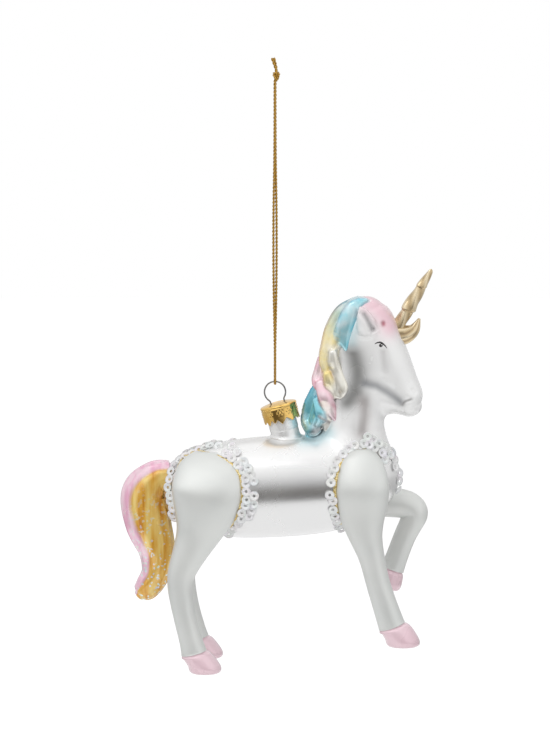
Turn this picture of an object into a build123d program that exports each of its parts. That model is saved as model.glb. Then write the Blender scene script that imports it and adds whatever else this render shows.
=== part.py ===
import os
from math import atan2, cos, pi, radians, sin, sqrt, tan
from build123d import *

# Hanging unicorn ornament of blown glass, in millimetres.
# The origin is the point where the cord loop is hung up, just under its knot.
# +X points to the head, +Y to the unicorn's left side and +Z up.

# Cord
CORD_DIAMETER = 0.8
CORD_DROP = 94.8          # hang point down to the wire at the top of the ring
CORD_SEAT = 0.03          # play between the cord and the wire it hangs on
STRAND_SPREAD = 1.0       # between the two strands, half way down
KNOT_WIDTH = 2.9
KNOT_HEIGHT = 3.3
CORD_END_LENGTH = 4.6     # free ends above the knot
CORD_END_LEAN = 16.0      # degrees, toward the tail

# Wire hanger
WIRE_DIAMETER = 0.5
RING_RADIUS = 3.35        # to the middle of the wire
RING_STAND = 3.2          # middle of the ring above the cap's top
SHOULDER_RADIUS = 1.0     # bend between ring and leg
LEG_SPREAD = 4.4          # between the two wire legs in the slot
WIRE_STRAIGHT = 7.0       # straight stretch of a wire leg below the cap's top
WIRE_LENGTH = 15.0        # reach of a wire leg below the cap's top
WIRE_BEND = 2.0
WIRE_PLAY = 0.15          # between the sprung legs and the glass bore

# Cap
STUB_TILT = 14.0          # degrees that cap and glass stub lean toward the tail
CAP_DIAMETER = 12.0
CAP_HEIGHT = 5.8
CAP_WALL = 0.35
CAP_CROWN = 0.7           # rise of the domed top
CAP_CORNER = 0.6
CAP_LOBES = 12
CAP_NOTCH = 0.8           # radius of the notch between two lobes
SLOT_LENGTH = 5.8
SLOT_WIDTH = 0.9
CAP_FIT = 0.12            # play between the cap and the rim of the stub

# Glass shell
GLASS_WALL = 1.0
STUB_DIAMETER = 9.2
STUB_RIM = 1.6            # height of the thicker rim inside the cap
STUB_GAP = 0.3            # between the stub's mouth and the cap
BACK_DROP = 11.8          # cap's top down to the unicorn's back
STUB_BEHIND = 19.6        # stub axis behind the shoulders
TRUNK_LENGTH = 74.0
TRUNK_HEIGHT = 32.4
TRUNK_WIDTH = 29.5
TRUNK_FULLNESS = 2.5      # 2 is an ellipse, more is fuller
TRUNK_PITCH = 3.0         # degrees, chest up

# Legs
HIP_INSET = 15.1          # hip ahead of the rump's end
SHOULDER_INSET = 11.2     # shoulder behind the chest's end
JOINT_RISE = 1.4          # hip and shoulder above the trunk's middle
LEG_TRACK = 10.5          # from the middle plane to a leg below the trunk
LEG_WALL = 1.2
HIND_TOP = 0.275 * TRUNK_HEIGHT     # top of a hind paddle above the hip
FRONT_TOP = 0.364 * TRUNK_HEIGHT    # top of a front paddle above the shoulder
GLUE_GAP = 0.12
HOOF_HEIGHT = 6.1
TOE_REACH = 3.1           # toe of a standing hoof ahead of the cuff
SPIGOT_DIAMETER = 4.2      # of the hoof, in the leg's open end
SPIGOT_LENGTH = 3.0
SPIGOT_PLAY = 0.2         # all round and at the end

# Horn
HORN_LENGTH = 19.5
HORN_ROOT = 2.3           # mean radius at the forehead
HORN_TURNS = 2.0
HORN_PITCH = 60.0         # degrees above level

# Sequins
SEQUIN_DIAMETER = 3.0
SEQUIN_HOLE = 0.9
SEQUIN_THICKNESS = 0.2
SEQUIN_LIFT = 0.45        # glue under a sequin
SEQUIN_PITCH = 3.4
SEQUIN_SIDE = 0.8         # between the row and the leg

# Stations of the soft shapes: ahead, above, half depth, half width.
# Neck, from a point level with the shoulders and over them.
NECK = [
    (-2.1, 3.0, 12.0, 9.5),
    (-1.8, 14.0, 10.0, 8.0),
    (-1.5, 24.0, 8.6, 6.8),
    (-1.3, 34.0, 8.2, 6.3),
    (-0.3, 44.0, 8.2, 6.0),
    (2.2, 52.5, 7.0, 5.6),
]
# Head, from the same point, poll to lips.
HEAD = [
    (-0.4, 56.6, 5.6, 4.6),
    (1.4, 53.0, 7.3, 6.2),
    (5.1, 45.9, 8.2, 7.0),
    (8.7, 38.8, 7.3, 6.0),
    (12.4, 31.7, 6.0, 4.7),
    (15.2, 26.4, 4.6, 4.2),
    (16.8, 23.3, 2.6, 2.4),
    (17.3, 22.4, 1.3, 1.2),
]
# Crest of the mane, from forelock to withers.
CREST = [
    (9.6, 54.6, 1.2, 2.6),
    (4.0, 57.2, 1.8, 4.0),
    (-2.0, 55.9, 2.4, 5.0),
    (-6.4, 49.6, 2.8, 5.5),
    (-9.3, 41.0, 3.0, 5.6),
    (-10.7, 31.0, 3.2, 5.6),
    (-12.7, 22.5, 3.0, 5.2),
    (-15.4, 16.6, 2.2, 3.8),
    (-16.4, 13.6, 1.2, 2.4),
]
# Locks that fall over each side of the neck: ahead, above, to the side, half depth, half width.
LOCKS = [
    [(-5.6, 53.0, 4.2, 2.6, 1.6), (-5.8, 47.5, 5.2, 2.4, 1.5), (-4.2, 42.8, 5.4, 0.8, 0.6)],
    [(-8.4, 44.0, 4.9, 2.8, 1.5), (-7.6, 36.0, 4.4, 2.5, 1.7), (-5.3, 28.6, 5.7, 0.8, 0.6)],
    [(-10.6, 32.5, 5.0, 2.8, 1.5), (-10.0, 25.0, 4.3, 2.5, 1.6), (-7.6, 19.2, 5.7, 0.8, 0.6)],
]
EAR = [
    (0.2, 48.5, 2.0, 1.5),
    (-0.1, 52.5, 2.3, 1.6),
    (1.1, 56.5, 0.9, 0.6),
    (1.5, 57.8, 0.4, 0.3),
]
EAR_SIDE = 5.9
# Legs, from hip or shoulder, top of the paddle to the cuff.
HIND_LEG = [
    (0.0, HIND_TOP, 4.0, 1.6),
    (0.0, 0.7 * HIND_TOP, 8.4, 3.4),
    (0.7, 0.0, 11.4, 5.2),
    (-0.9, -8.0, 9.6, 5.2),
    (-4.0, -15.2, 6.1, 4.7),
    (-7.2, -22.0, 4.9, 4.3),
    (-10.2, -30.0, 4.2, 3.9),
    (-8.5, -41.0, 3.7, 3.5),
    (-5.9, -49.5, 3.8, 3.6),
    (-5.0, -53.2, 4.1, 3.8),
]
STANDING_LEG = [
    (0.5, FRONT_TOP, 2.5, 1.5),
    (0.3, 0.72 * FRONT_TOP, 6.4, 3.0),
    (0.0, 0.0, 8.6, 4.8),
    (0.3, -8.0, 7.6, 4.8),
    (1.4, -15.5, 5.4, 4.5),
    (3.4, -22.5, 4.1, 3.9),
    (5.3, -30.5, 3.8, 3.6),
    (8.0, -39.0, 4.0, 3.7),
    (9.9, -44.6, 4.3, 3.9),
]
RAISED_THIGH = [
    (0.5, FRONT_TOP, 2.5, 1.5),
    (0.3, 0.72 * FRONT_TOP, 6.4, 3.0),
    (0.6, 0.0, 8.0, 4.8),
    (4.0, -6.0, 6.4, 4.8),
    (10.0, -8.3, 5.0, 4.6),
    (16.0, -9.3, 4.5, 4.2),
    (20.6, -9.8, 3.4, 3.2),
]
RAISED_SHIN = [
    (19.4, -7.0, 3.6, 3.4),
    (18.0, -11.5, 4.2, 3.9),
    (15.0, -19.5, 3.5, 3.4),
    (12.4, -26.5, 3.5, 3.4),
    (11.0, -30.3, 3.9, 3.7),
]
# Tail, from the rump's end.
TAIL = [
    (2.6, 5.4, 4.8, 3.6),
    (-2.4, 4.3, 6.0, 4.4),
    (-6.4, -0.7, 7.2, 5.0),
    (-5.0, -9.7, 7.3, 4.9),
    (-2.4, -19.1, 6.0, 4.3),
    (-2.8, -26.7, 4.2, 3.3),
    (-5.2, -32.3, 3.0, 2.3),
    (-6.6, -34.8, 1.4, 1.1),
]
# Curled root of the horn, from the horn's foot.
CURL = [
    (-2.6, -4.2, 2.4, 2.0),
    (-0.6, -4.0, 2.7, 2.2),
    (2.0, -3.7, 2.5, 2.0),
    (4.7, -2.2, 1.6, 1.3),
    (6.1, 0.8, 0.5, 0.4),
]

# Places that follow from the sizes above.
TILT = radians(STUB_TILT)
UP_STUB = Vector(-sin(TILT), 0, cos(TILT))
RING_TOP = Vector(0, 0, -CORD_DROP)
RING_MIDDLE = RING_TOP - Vector(0, 0, RING_RADIUS)
CAP_TOP = RING_MIDDLE - UP_STUB * RING_STAND
CAP_PLANE = Plane(origin=CAP_TOP, x_dir=(cos(TILT), 0, sin(TILT)), z_dir=UP_STUB)
STUB_MOUTH = CAP_WALL + CAP_CROWN + CAP_CORNER + STUB_GAP
STUB_BORE = STUB_DIAMETER - 2 * GLASS_WALL
AXIS_MEET = CAP_TOP - UP_STUB * (BACK_DROP + TRUNK_HEIGHT / 2)
TRUNK_MIDDLE = AXIS_MEET + Vector(STUB_BEHIND + SHOULDER_INSET - TRUNK_LENGTH / 2, 0, 0)
RUMP = TRUNK_MIDDLE - Vector(TRUNK_LENGTH / 2, 0, TRUNK_LENGTH / 2 * tan(radians(TRUNK_PITCH)))
HIP = TRUNK_MIDDLE + Vector(HIP_INSET - TRUNK_LENGTH / 2, 0, JOINT_RISE)
SHOULDER = TRUNK_MIDDLE + Vector(TRUNK_LENGTH / 2 - SHOULDER_INSET, 0, JOINT_RISE)
HORN_FOOT = SHOULDER + Vector(12.6, 0, 51.1)


def limb(stations, grow=0.0):
    """Smooth body through oval stations: place, half depth, half width."""
    sections = []
    last = len(stations) - 1
    for number, (place, depth, width) in enumerate(stations):
        before = stations[max(number - 1, 0)][0]
        after = stations[min(number + 1, last)][0]
        along = Vector(after.X - before.X, 0, after.Z - before.Z)
        plane = Plane(origin=place, x_dir=(0, 1, 0), z_dir=along)
        sections.append(plane * Ellipse(width + grow, depth + grow))
    return loft(sections)


def placed(rows, start, side=0.0):
    """Stations of a row list at a start point, at one distance to the side."""
    return [(start + Vector(ahead, side, above), depth, width) for ahead, above, depth, width in rows]


def trunk_share(x):
    """Size of the trunk's section at x as a share of its middle one."""
    share = min(abs(x - TRUNK_MIDDLE.X) / (TRUNK_LENGTH / 2), 0.995)
    return (1 - share ** TRUNK_FULLNESS) ** (1 / TRUNK_FULLNESS)


def trunk_level(x):
    return TRUNK_MIDDLE.Z + (x - TRUNK_MIDDLE.X) * tan(radians(TRUNK_PITCH))


def trunk(grow=0.0):
    """Egg-shaped trunk; its sections shrink to the ends by one formula."""
    sections = []
    steps = 6
    for step in range(-steps, steps + 1):
        share = max(min(sin(pi / 2 * step / steps), 0.995), -0.995)
        x = TRUNK_MIDDLE.X + share * TRUNK_LENGTH / 2
        size = trunk_share(x)
        place = Vector(TRUNK_MIDDLE.X + share * (TRUNK_LENGTH / 2 + grow), 0, trunk_level(x))
        plane = Plane(origin=place, x_dir=(0, 1, 0), z_dir=(1, 0, 0))
        sections.append(plane * Ellipse((TRUNK_WIDTH / 2 + grow) * size, (TRUNK_HEIGHT / 2 + grow) * size))
    return loft(sections)


def neck(grow=0.0):
    return limb(placed(NECK, SHOULDER), grow)


def head(grow=0.0):
    return limb(placed(HEAD, SHOULDER), grow)


def trunk_side(x, z):
    """Half width of the trunk at a point of the side view."""
    size = trunk_share(x)
    high = (z - trunk_level(x)) / (TRUNK_HEIGHT / 2 * size)
    return TRUNK_WIDTH / 2 * size * sqrt(max(1 - high ** 2, 0.0))


def neck_side(x, z):
    """Half width of the neck at a point of the side view."""
    for lower, upper in zip(NECK, NECK[1:]):
        above = z - SHOULDER.Z
        if lower[1] <= above <= upper[1]:
            part = (above - lower[1]) / (upper[1] - lower[1])
            ahead, depth, width = [lower[i] + part * (upper[i] - lower[i]) for i in (0, 2, 3)]
            across = (x - SHOULDER.X - ahead) / depth
            return width * sqrt(max(1 - across ** 2, 0.0))
    return 0.0


def stub(radius, length, start):
    """Cylinder on the stub's axis, from a depth below the cap's top."""
    solid = Cylinder(radius, length, align=(Align.CENTER, Align.CENTER, Align.MAX))
    return CAP_PLANE * Pos(0, 0, -start) * solid


def side_of_body(x, z):
    return max(trunk_side(x, z), neck_side(x, z))


def skin(grow=0.0):
    """Outside of the glass where legs and sequins are glued on."""
    return trunk(grow) + neck(grow)


def glass_body():
    """Hollow shell with stub, neck, head, ears and the mane in relief."""
    stub_length = BACK_DROP + TRUNK_HEIGHT / 4 - STUB_MOUTH
    rim_radius = CAP_DIAMETER / 2 - CAP_WALL - CAP_FIT
    body = skin() + head()
    body += limb(placed(CREST, SHOULDER))
    for side in (-1, 1):
        body += limb(placed(EAR, SHOULDER, side * EAR_SIDE))
        for lock in LOCKS:
            rows = [(SHOULDER + Vector(row[0], side * row[2], row[1]), row[3], row[4]) for row in lock]
            body += limb(rows)
    body += stub(STUB_DIAMETER / 2, stub_length, STUB_MOUTH)
    body += stub(rim_radius, STUB_RIM, STUB_MOUTH)
    hollow = skin(-GLASS_WALL) + limb(placed(HEAD[1:-2], SHOULDER), -GLASS_WALL)
    hollow += stub(STUB_BORE / 2, stub_length, STUB_MOUTH)
    return body - hollow


def cap():
    """Domed cap with a lobed skirt and the slot for the wire."""
    outer = CAP_DIAMETER / 2
    shell = cap_cup(outer, 0.0, CAP_HEIGHT) - cap_cup(outer - CAP_WALL, CAP_WALL, CAP_HEIGHT + 1)
    for number in range(CAP_LOBES):
        notch = Rot(0, 0, 360 / CAP_LOBES * number) * Pos(outer, 0, -CAP_HEIGHT) * Rot(0, 90, 0)
        shell -= notch * Cylinder(CAP_NOTCH, 2)
    shell -= Box(SLOT_LENGTH, SLOT_WIDTH, 4)
    return CAP_PLANE * shell


def cap_cup(radius, top, bottom):
    """Solid cup form under a shallow dome, from its top down to a depth."""
    edge = top + CAP_CROWN
    flat = radius - CAP_CORNER
    dome = ThreePointArc((0, 0, -top), (flat / 2, 0, -top - CAP_CROWN / 4), (flat, 0, -edge))
    bend = CAP_CORNER * cos(pi / 4)
    corner = ThreePointArc(
        (flat, 0, -edge),
        (flat + bend, 0, -edge - CAP_CORNER + bend),
        (radius, 0, -edge - CAP_CORNER),
    )
    rest = Polyline((radius, 0, -edge - CAP_CORNER), (radius, 0, -bottom), (0, 0, -bottom), (0, 0, -top))
    return revolve(make_face([dome, corner, rest]), Axis.Z)


def wire_hanger():
    """One spring wire: ring, two shoulders and two sprung legs."""
    leg = LEG_SPREAD / 2
    reach = RING_RADIUS + SHOULDER_RADIUS
    aside = leg + SHOULDER_RADIUS
    start = RING_STAND - sqrt(reach ** 2 - aside ** 2)
    turn = atan2(RING_STAND - start, aside)
    flare = STUB_BORE / 2 - WIRE_DIAMETER / 2 - WIRE_PLAY
    half_way = (WIRE_STRAIGHT + WIRE_LENGTH) / 2
    edges = []
    for side in (-1, 1):
        sprung = FilletPolyline(
            (side * leg, 0, start),
            (side * leg, 0, -WIRE_STRAIGHT),
            (side * flare, 0, -half_way),
            (side * (flare - 0.8), 0, -WIRE_LENGTH),
            radius=WIRE_BEND,
        )
        bends = [turn * part for part in (0, 0.5, 1)]
        places = [
            (side * (aside - SHOULDER_RADIUS * cos(bend)), 0, start + SHOULDER_RADIUS * sin(bend))
            for bend in bends
        ]
        edges += sprung.edges() + ThreePointArc(*places).edges()
        edges_end = places[-1]
    mirrored = (-edges_end[0], 0, edges_end[2])
    edges += ThreePointArc(mirrored, (0, 0, RING_STAND + RING_RADIUS), edges_end).edges()
    path = Wire(edges)
    section = Plane(origin=path @ 0, z_dir=path % 0) * Circle(WIRE_DIAMETER / 2)
    return CAP_PLANE * sweep(section, path=path)


def turn_radius(first, corner, last):
    """Radius of the arc that uses most of the shorter run at a corner."""
    run_in = corner - first
    run_out = last - corner
    turn = radians(run_in.get_angle(run_out))
    return 0.45 * min(run_in.length, run_out.length) / tan(turn / 2)


def cord_loop():
    """Cord from the knot down round the ring's wire and back up."""
    seat = WIRE_DIAMETER / 2 + CORD_DIAMETER / 2 + CORD_SEAT
    edges = []
    for side in (-1, 1):
        points = [
            Vector(side * 0.58 * CORD_DIAMETER, 0, -0.1),
            Vector(side * STRAND_SPREAD / 2, side * 0.2, -0.475 * CORD_DROP),
            Vector(0, side * seat, -0.9 * CORD_DROP),
            Vector(0, side * seat, -CORD_DROP),
        ]
        radii = [turn_radius(*points[i:i + 3]) for i in range(2)]
        print("cord arc radii", [round(radius, 1) for radius in radii])
        edges += FilletPolyline(*points, radius=radii).edges()
    edges += ThreePointArc(
        (0, -seat, -CORD_DROP), (0, 0, -CORD_DROP - seat), (0, seat, -CORD_DROP)
    ).edges()
    path = Wire(edges)
    print("cord loop length", round(path.length, 1))
    section = Plane(origin=path @ 0, z_dir=path % 0) * Circle(CORD_DIAMETER / 2)
    return sweep(section, path=path)


def cord_knot():
    half = KNOT_WIDTH / 2
    rows = [
        (Vector(0.4, 0, 0.05), 0.8 * half, 0.7 * half),
        (Vector(0.4, 0, 0.25 * KNOT_HEIGHT), 0.95 * half, 0.8 * half),
        (Vector(0.5, 0, 0.55 * KNOT_HEIGHT), half, 0.85 * half),
        (Vector(0.4, 0, 0.85 * KNOT_HEIGHT), 0.85 * half, 0.75 * half),
        (Vector(0.3, 0, KNOT_HEIGHT), 0.6 * half, 0.55 * half),
    ]
    return limb(rows)


def cord_ends():
    ends = []
    for side in (-1, 1):
        place = Pos(0.3, side * 0.56 * CORD_DIAMETER, KNOT_HEIGHT + 0.2) * Rot(0, -CORD_END_LEAN, 0)
        solid = Cylinder(CORD_DIAMETER / 2, CORD_END_LENGTH, align=(Align.CENTER, Align.CENTER, Align.MIN))
        ends.append(place * solid)
    return Compound(children=ends)


def leg_stations(rows, start, side):
    """Leg stations; the paddle follows the body's side, the rest keeps its track."""
    stations = []
    for ahead, above, depth, width in rows:
        place = start + Vector(ahead, 0, above)
        out = side_of_body(place.X, place.Z)
        if above < 0:
            out = max(out, LEG_TRACK)
        stations.append((place + Vector(0, side * out, 0), depth, width))
    return stations


def leg_hollow(stations):
    """Inside of a leg, closed below the top of its paddle."""
    top = stations[0][0] - Vector(0, 0, LEG_WALL)
    lid = Box(TRUNK_LENGTH, TRUNK_LENGTH, TRUNK_HEIGHT, align=(Align.CENTER, Align.CENTER, Align.MIN))
    return limb(stations, -LEG_WALL) - Pos(*top) * lid


def cuff_line(stations):
    """End of a leg and the direction in which it ends."""
    cuff = stations[-1][0]
    above = stations[-2][0]
    return cuff, Vector(cuff.X - above.X, 0, cuff.Z - above.Z).normalized()


def spigot(stations, more, start):
    """Round peg up into a leg's end, from a depth below the cuff."""
    cuff, along = cuff_line(stations)
    plane = Plane(origin=cuff + along * start, x_dir=(0, 1, 0), z_dir=-along)
    bottom = (Align.CENTER, Align.CENTER, Align.MIN)
    return plane * Cylinder(SPIGOT_DIAMETER / 2 + more, SPIGOT_LENGTH + more + start, align=bottom)


def hollow_leg(stations):
    return limb(stations) - leg_hollow(stations) - spigot(stations, SPIGOT_PLAY, 1.0)


def raised_leg(side):
    thigh = leg_stations(RAISED_THIGH, SHOULDER, side)
    shin = leg_stations(RAISED_SHIN, SHOULDER, side)
    outside = limb(thigh) + limb(shin)
    inside = leg_hollow(thigh[:-1]) + limb(shin[1:], -LEG_WALL)
    return outside - inside - spigot(shin, SPIGOT_PLAY, 1.0)


def hoof(stations, toe, level):
    """Hoof with a spigot that goes into the leg's open end."""
    depth, width = stations[-1][1:]
    cuff, along = cuff_line(stations)
    down = Vector(0, 0, -1) if level else along
    ahead = Vector(-down.Z, 0, down.X)
    slant = (along + down).normalized()
    rows = [
        (cuff + along * GLUE_GAP, along, -0.5),
        (cuff + along * 1.5 + ahead * 0.3 * toe, slant, 0.4),
        (cuff + down * 0.62 * HOOF_HEIGHT + ahead * 0.9 * toe, down, 0.8),
        (cuff + down * 0.88 * HOOF_HEIGHT + ahead * toe, down, 0.6),
        (cuff + down * HOOF_HEIGHT + ahead * toe, down, -0.3),
    ]
    sections = []
    for place, normal, more in rows:
        plane = Plane(origin=place, x_dir=(0, 1, 0), z_dir=normal)
        sections.append(plane * Ellipse(width + more, depth + more + 0.3 * toe / TOE_REACH))
    return loft(sections) + spigot(stations, 0.0, 1.0)


def tail():
    return limb(placed(TAIL, RUMP)) - trunk(GLUE_GAP)


def horn():
    """Twisted horn with a curled root, cut to the forehead."""
    pitch = radians(HORN_PITCH)
    along = Vector(cos(pitch), 0, sin(pitch))
    across = Vector(-sin(pitch), 0, cos(pitch))
    sections = []
    steps = 12
    for step in range(steps + 1):
        part = step / steps
        place = HORN_FOOT + along * (HORN_LENGTH * part - 2.5 * (1 - part))
        angle = 2 * pi * HORN_TURNS * part
        x_dir = across * cos(angle) + Vector(0, 1, 0) * sin(angle)
        radius = HORN_ROOT * (1 - 0.82 * part)
        plane = Plane(origin=place, x_dir=x_dir, z_dir=along)
        sections.append(plane * Ellipse(1.18 * radius, 0.84 * radius))
    return loft(sections) + limb(placed(CURL, HORN_FOOT)) - head(GLUE_GAP)


def sequins(rows, start, side, body):
    """Row of sequins on the glass along the rim of a leg's paddle."""
    lead = SEQUIN_DIAMETER / 2 + SEQUIN_SIDE
    rim = []
    for hand, order in ((1, rows[::-1]), (-1, rows)):
        for ahead, above, depth, width in order:
            out = Vector(hand * depth, 0, above).normalized() * lead
            rim.append(start + Vector(ahead + hand * depth, 0, above) + out)
    path = Spline(*rim)
    count = int(path.length / SEQUIN_PITCH)
    pieces = []
    for number in range(1, count):
        place = path @ (number / count)
        off = side * (side_of_body(place.X, place.Z) + 2.0)
        outside = Vector(place.X, off, place.Z)
        foot = body.closest_points(outside)[0]
        normal = (outside - foot).normalized()
        plane = Plane(origin=foot + normal * SEQUIN_LIFT, z_dir=normal)
        bottom = (Align.CENTER, Align.CENTER, Align.MIN)
        disc = Cylinder(SEQUIN_DIAMETER / 2, SEQUIN_THICKNESS, align=bottom)
        pieces.append(plane * (disc - Cylinder(SEQUIN_HOLE / 2, 3 * SEQUIN_THICKNESS)))
    return Compound(children=pieces)


os.makedirs("parts", exist_ok=True)
RIGHT, LEFT = -1, 1
body_skin = skin()
glue_skin = skin(GLUE_GAP)
hind_right = leg_stations(HIND_LEG, HIP, RIGHT)
hind_left = leg_stations(HIND_LEG, HIP, LEFT)
front_right = leg_stations(STANDING_LEG, SHOULDER, RIGHT)
shin_left = leg_stations(RAISED_SHIN, SHOULDER, LEFT)
nodes = {
    "glass_body": glass_body(),
    "ornament_cap": cap(),
    "wire_hanger": wire_hanger(),
    "cord_loop": cord_loop(),
    "cord_knot": cord_knot(),
    "cord_ends": cord_ends(),
    "horn": horn(),
    "tail": tail(),
    "hind_right_leg": hollow_leg(hind_right) - glue_skin,
    "hind_left_leg": hollow_leg(hind_left) - glue_skin,
    "front_right_leg": hollow_leg(front_right) - glue_skin,
    "front_left_leg": raised_leg(LEFT) - glue_skin,
    "hind_right_hoof": hoof(hind_right, TOE_REACH, True),
    "hind_left_hoof": hoof(hind_left, TOE_REACH, True),
    "front_right_hoof": hoof(front_right, TOE_REACH, True),
    "front_left_hoof": hoof(shin_left, 0.0, False),
    "hind_right_sequins": sequins(HIND_LEG[:4], HIP, RIGHT, body_skin),
    "hind_left_sequins": sequins(HIND_LEG[:4], HIP, LEFT, body_skin),
    "front_right_sequins": sequins(STANDING_LEG[:4], SHOULDER, RIGHT, body_skin),
    "front_left_sequins": sequins(RAISED_THIGH[:3], SHOULDER, LEFT, body_skin),
}
for name, solid in nodes.items():
    print(name, "solids", len(solid.solids()), "volume", round(solid.volume, 1), solid.is_valid)
    export_step(solid, f"parts/{name}.step")
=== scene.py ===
# %% [markdown]
# # A hanging glass unicorn
# The object is a blown-glass ornament: a silvered unicorn with glued-on legs, tail and horn,
# a stamped gold cap with a wire ring, and a gold cord to hang it by. The CAD frame gives the
# places and sizes. This lesson dresses each piece in a mesh and a finish of its own.

import random
from math import atan2, cos, exp, hypot, pi, radians, sin, sqrt, tan

import bpy
import numpy as np
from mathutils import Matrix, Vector, noise
from mathutils.bvhtree import BVHTree
from mathutils.kdtree import KDTree


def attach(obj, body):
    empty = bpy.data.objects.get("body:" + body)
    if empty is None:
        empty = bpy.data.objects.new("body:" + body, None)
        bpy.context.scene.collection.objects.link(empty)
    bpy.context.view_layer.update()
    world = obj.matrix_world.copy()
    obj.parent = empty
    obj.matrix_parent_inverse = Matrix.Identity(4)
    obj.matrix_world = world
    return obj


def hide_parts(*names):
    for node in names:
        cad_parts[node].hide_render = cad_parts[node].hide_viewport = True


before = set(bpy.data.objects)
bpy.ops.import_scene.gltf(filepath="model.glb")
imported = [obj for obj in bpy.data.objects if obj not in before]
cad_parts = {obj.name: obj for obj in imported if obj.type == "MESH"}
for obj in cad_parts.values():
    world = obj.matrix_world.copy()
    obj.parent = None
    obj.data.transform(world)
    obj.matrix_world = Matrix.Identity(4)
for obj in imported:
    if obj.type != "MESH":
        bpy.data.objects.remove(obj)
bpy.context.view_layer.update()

# %% [markdown]
# The tables below are in millimetres, as the maker of the object would measure them.
# Blender works in metres, so one factor turns them over when a mesh is made.
# The places are the hip, shoulder, rump and horn foot of the CAD model.

# %% Places on the unicorn
MM = 0.001
LEFT = Vector((0, 1, 0))
SHOULDER = Vector((27.148, 0.0, -127.023))
HIP = Vector((-20.552, 0.0, -127.023))
RUMP = Vector((-35.652, 0.0, -130.362))
HORN_FOOT = Vector((39.748, 0.0, -75.923))
TRUNK_MIDDLE = Vector((1.348, 0.0, -128.423))
CAP_TOP = Vector((0.774, 0.0, -101.255))
STUB_LEAN = radians(14)
STUB_UP = Vector((-sin(STUB_LEAN), 0.0, cos(STUB_LEAN)))
STUB_SIDE = Vector((STUB_UP.z, 0.0, -STUB_UP.x))
print("shoulder", tuple(SHOULDER), "hip", tuple(HIP))

# %% [markdown]
# The photograph is a level side view from slightly above, taken from a fair distance.
# A long lens at 0.7 m gives the same gentle perspective. The longer side of the picture is its
# height, so the sensor's 36 mm stand for the 233 mm that the frame covers at the object.

# %% Camera at the photograph's angle
VIEW_HEIGHT = 0.2330
VIEW_RANGE = 0.70
VIEW_LIFT = radians(6.0)
SENSOR = 36.0
aim = Vector((0.0, 0.0, -0.0902))
camera_data = bpy.data.cameras.new("side_view")
camera_data.sensor_width = SENSOR
camera_data.lens = SENSOR * VIEW_RANGE / VIEW_HEIGHT
camera_data.clip_start = 0.01
camera = bpy.data.objects.new("side_view", camera_data)
bpy.context.scene.collection.objects.link(camera)
camera.location = aim + Vector((0.0, -cos(VIEW_LIFT), sin(VIEW_LIFT))) * VIEW_RANGE
camera.rotation_euler = (pi / 2 - VIEW_LIFT, 0.0, 0.0)
bpy.context.scene.camera = camera
print("lens", round(camera_data.lens, 1))

# %% [markdown]
# Every piece below starts as rings of points. One helper turns rings into a closed skin of
# quads with a fan at each end. A ring section that closes on itself needs no fans.

# %% Skins from rings
def new_object(name, data):
    item = bpy.data.objects.new(name, data)
    bpy.context.scene.collection.objects.link(item)
    return item


def circle(count):
    return [2 * pi * k / count for k in range(count)]


def skin_of(name, shells, smooth=True, ends=True):
    """One mesh from shells; each shell is a list of rings of points in millimetres."""
    points, faces = [], []
    for rings in shells:
        start, around, last = len(points), len(rings[0]), len(rings) - 1
        pairs = [(k, (k + 1) % around) for k in range(around)]
        for ring in rings:
            points += [Vector(p) * MM for p in ring]
        for row in range(last):
            base = start + row * around
            faces += [(base + a, base + b, base + b + around, base + a + around) for a, b in pairs]
        for row in (0, last) if ends else ():
            base, middle = start + row * around, len(points)
            points.append(sum((Vector(p) for p in rings[row]), Vector()) / around * MM)
            faces += [(base + a, base + b, middle) if row else (base + b, base + a, middle) for a, b in pairs]
    mesh = bpy.data.meshes.new(name)
    mesh.from_pydata(points, [], faces)
    mesh.polygons.foreach_set("use_smooth", [smooth] * len(mesh.polygons))
    mesh.update()
    return mesh


# %% [markdown]
# Limbs are oval rings along a line of stations: place, half depth in the side view, half width
# across it. A smooth curve through the stations gives as many rings as the shape needs, so a
# short table makes a round limb.

# %% Oval limbs
def curve_at(a, b, c, d, t):
    """Value of a smooth curve at a share t of the way from b to c."""
    square, cube = 2 * a - 5 * b + 4 * c - d, 3 * b - a - 3 * c + d
    return 0.5 * (2 * b + (c - a) * t + square * t * t + cube * t ** 3)


def flowing(rows, steps):
    """Rows along a smooth curve through the given ones."""
    out, last = [], len(rows) - 1
    for i in range(last):
        near = [rows[max(i - 1, 0)], rows[i], rows[i + 1], rows[min(i + 2, last)]]
        for s in range(steps):
            out.append(tuple(curve_at(*four, s / steps) for four in zip(*near)))
    out.append(tuple(rows[-1]))
    return out


def beside(rows, i):
    """The rows before and after row i, or the end itself."""
    return rows[max(i - 1, 0)], rows[min(i + 1, len(rows) - 1)]


def oval_rings(rows, around, wave=None):
    """Oval rings at rows of x, y, z, half depth, half width. wave may scale each point."""
    rings, last = [], len(rows) - 1
    for i, (x, y, z, depth, width) in enumerate(rows):
        before, after = beside(rows, i)
        along = Vector((after[0] - before[0], 0.0, after[2] - before[2])).normalized()
        across = Vector((-along.z, 0.0, along.x))
        ring = []
        for angle in circle(around):
            size = wave(i / last, angle) if wave else 1.0
            offset = LEFT * width * cos(angle) + across * depth * sin(angle)
            ring.append(Vector((x, y, z)) + offset * size)
        rings.append(ring)
    return rings


def end_of(rows):
    """Place and direction of the last row."""
    place = Vector(rows[-1][:3])
    return place, (place - Vector(rows[-2][:3])).normalized()


def rounded_end(rows, reach):
    """Adds shrinking rows so that the last end closes as a dome."""
    place, way = end_of(rows)
    depth, width = rows[-1][3:]
    more = []
    for part in (0.35, 0.65, 0.85, 0.97, 1.0):
        size = max(sqrt(1 - part * part), 0.05)
        more.append((*(place + way * reach * part), depth * size, width * size))
    return list(rows) + more


def at(start, rows):
    """Rows of ahead, above, depth, width as rows in the frame."""
    return [(start.x + a, 0.0, start.z + b, d, w) for a, b, d, w in rows]


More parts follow.
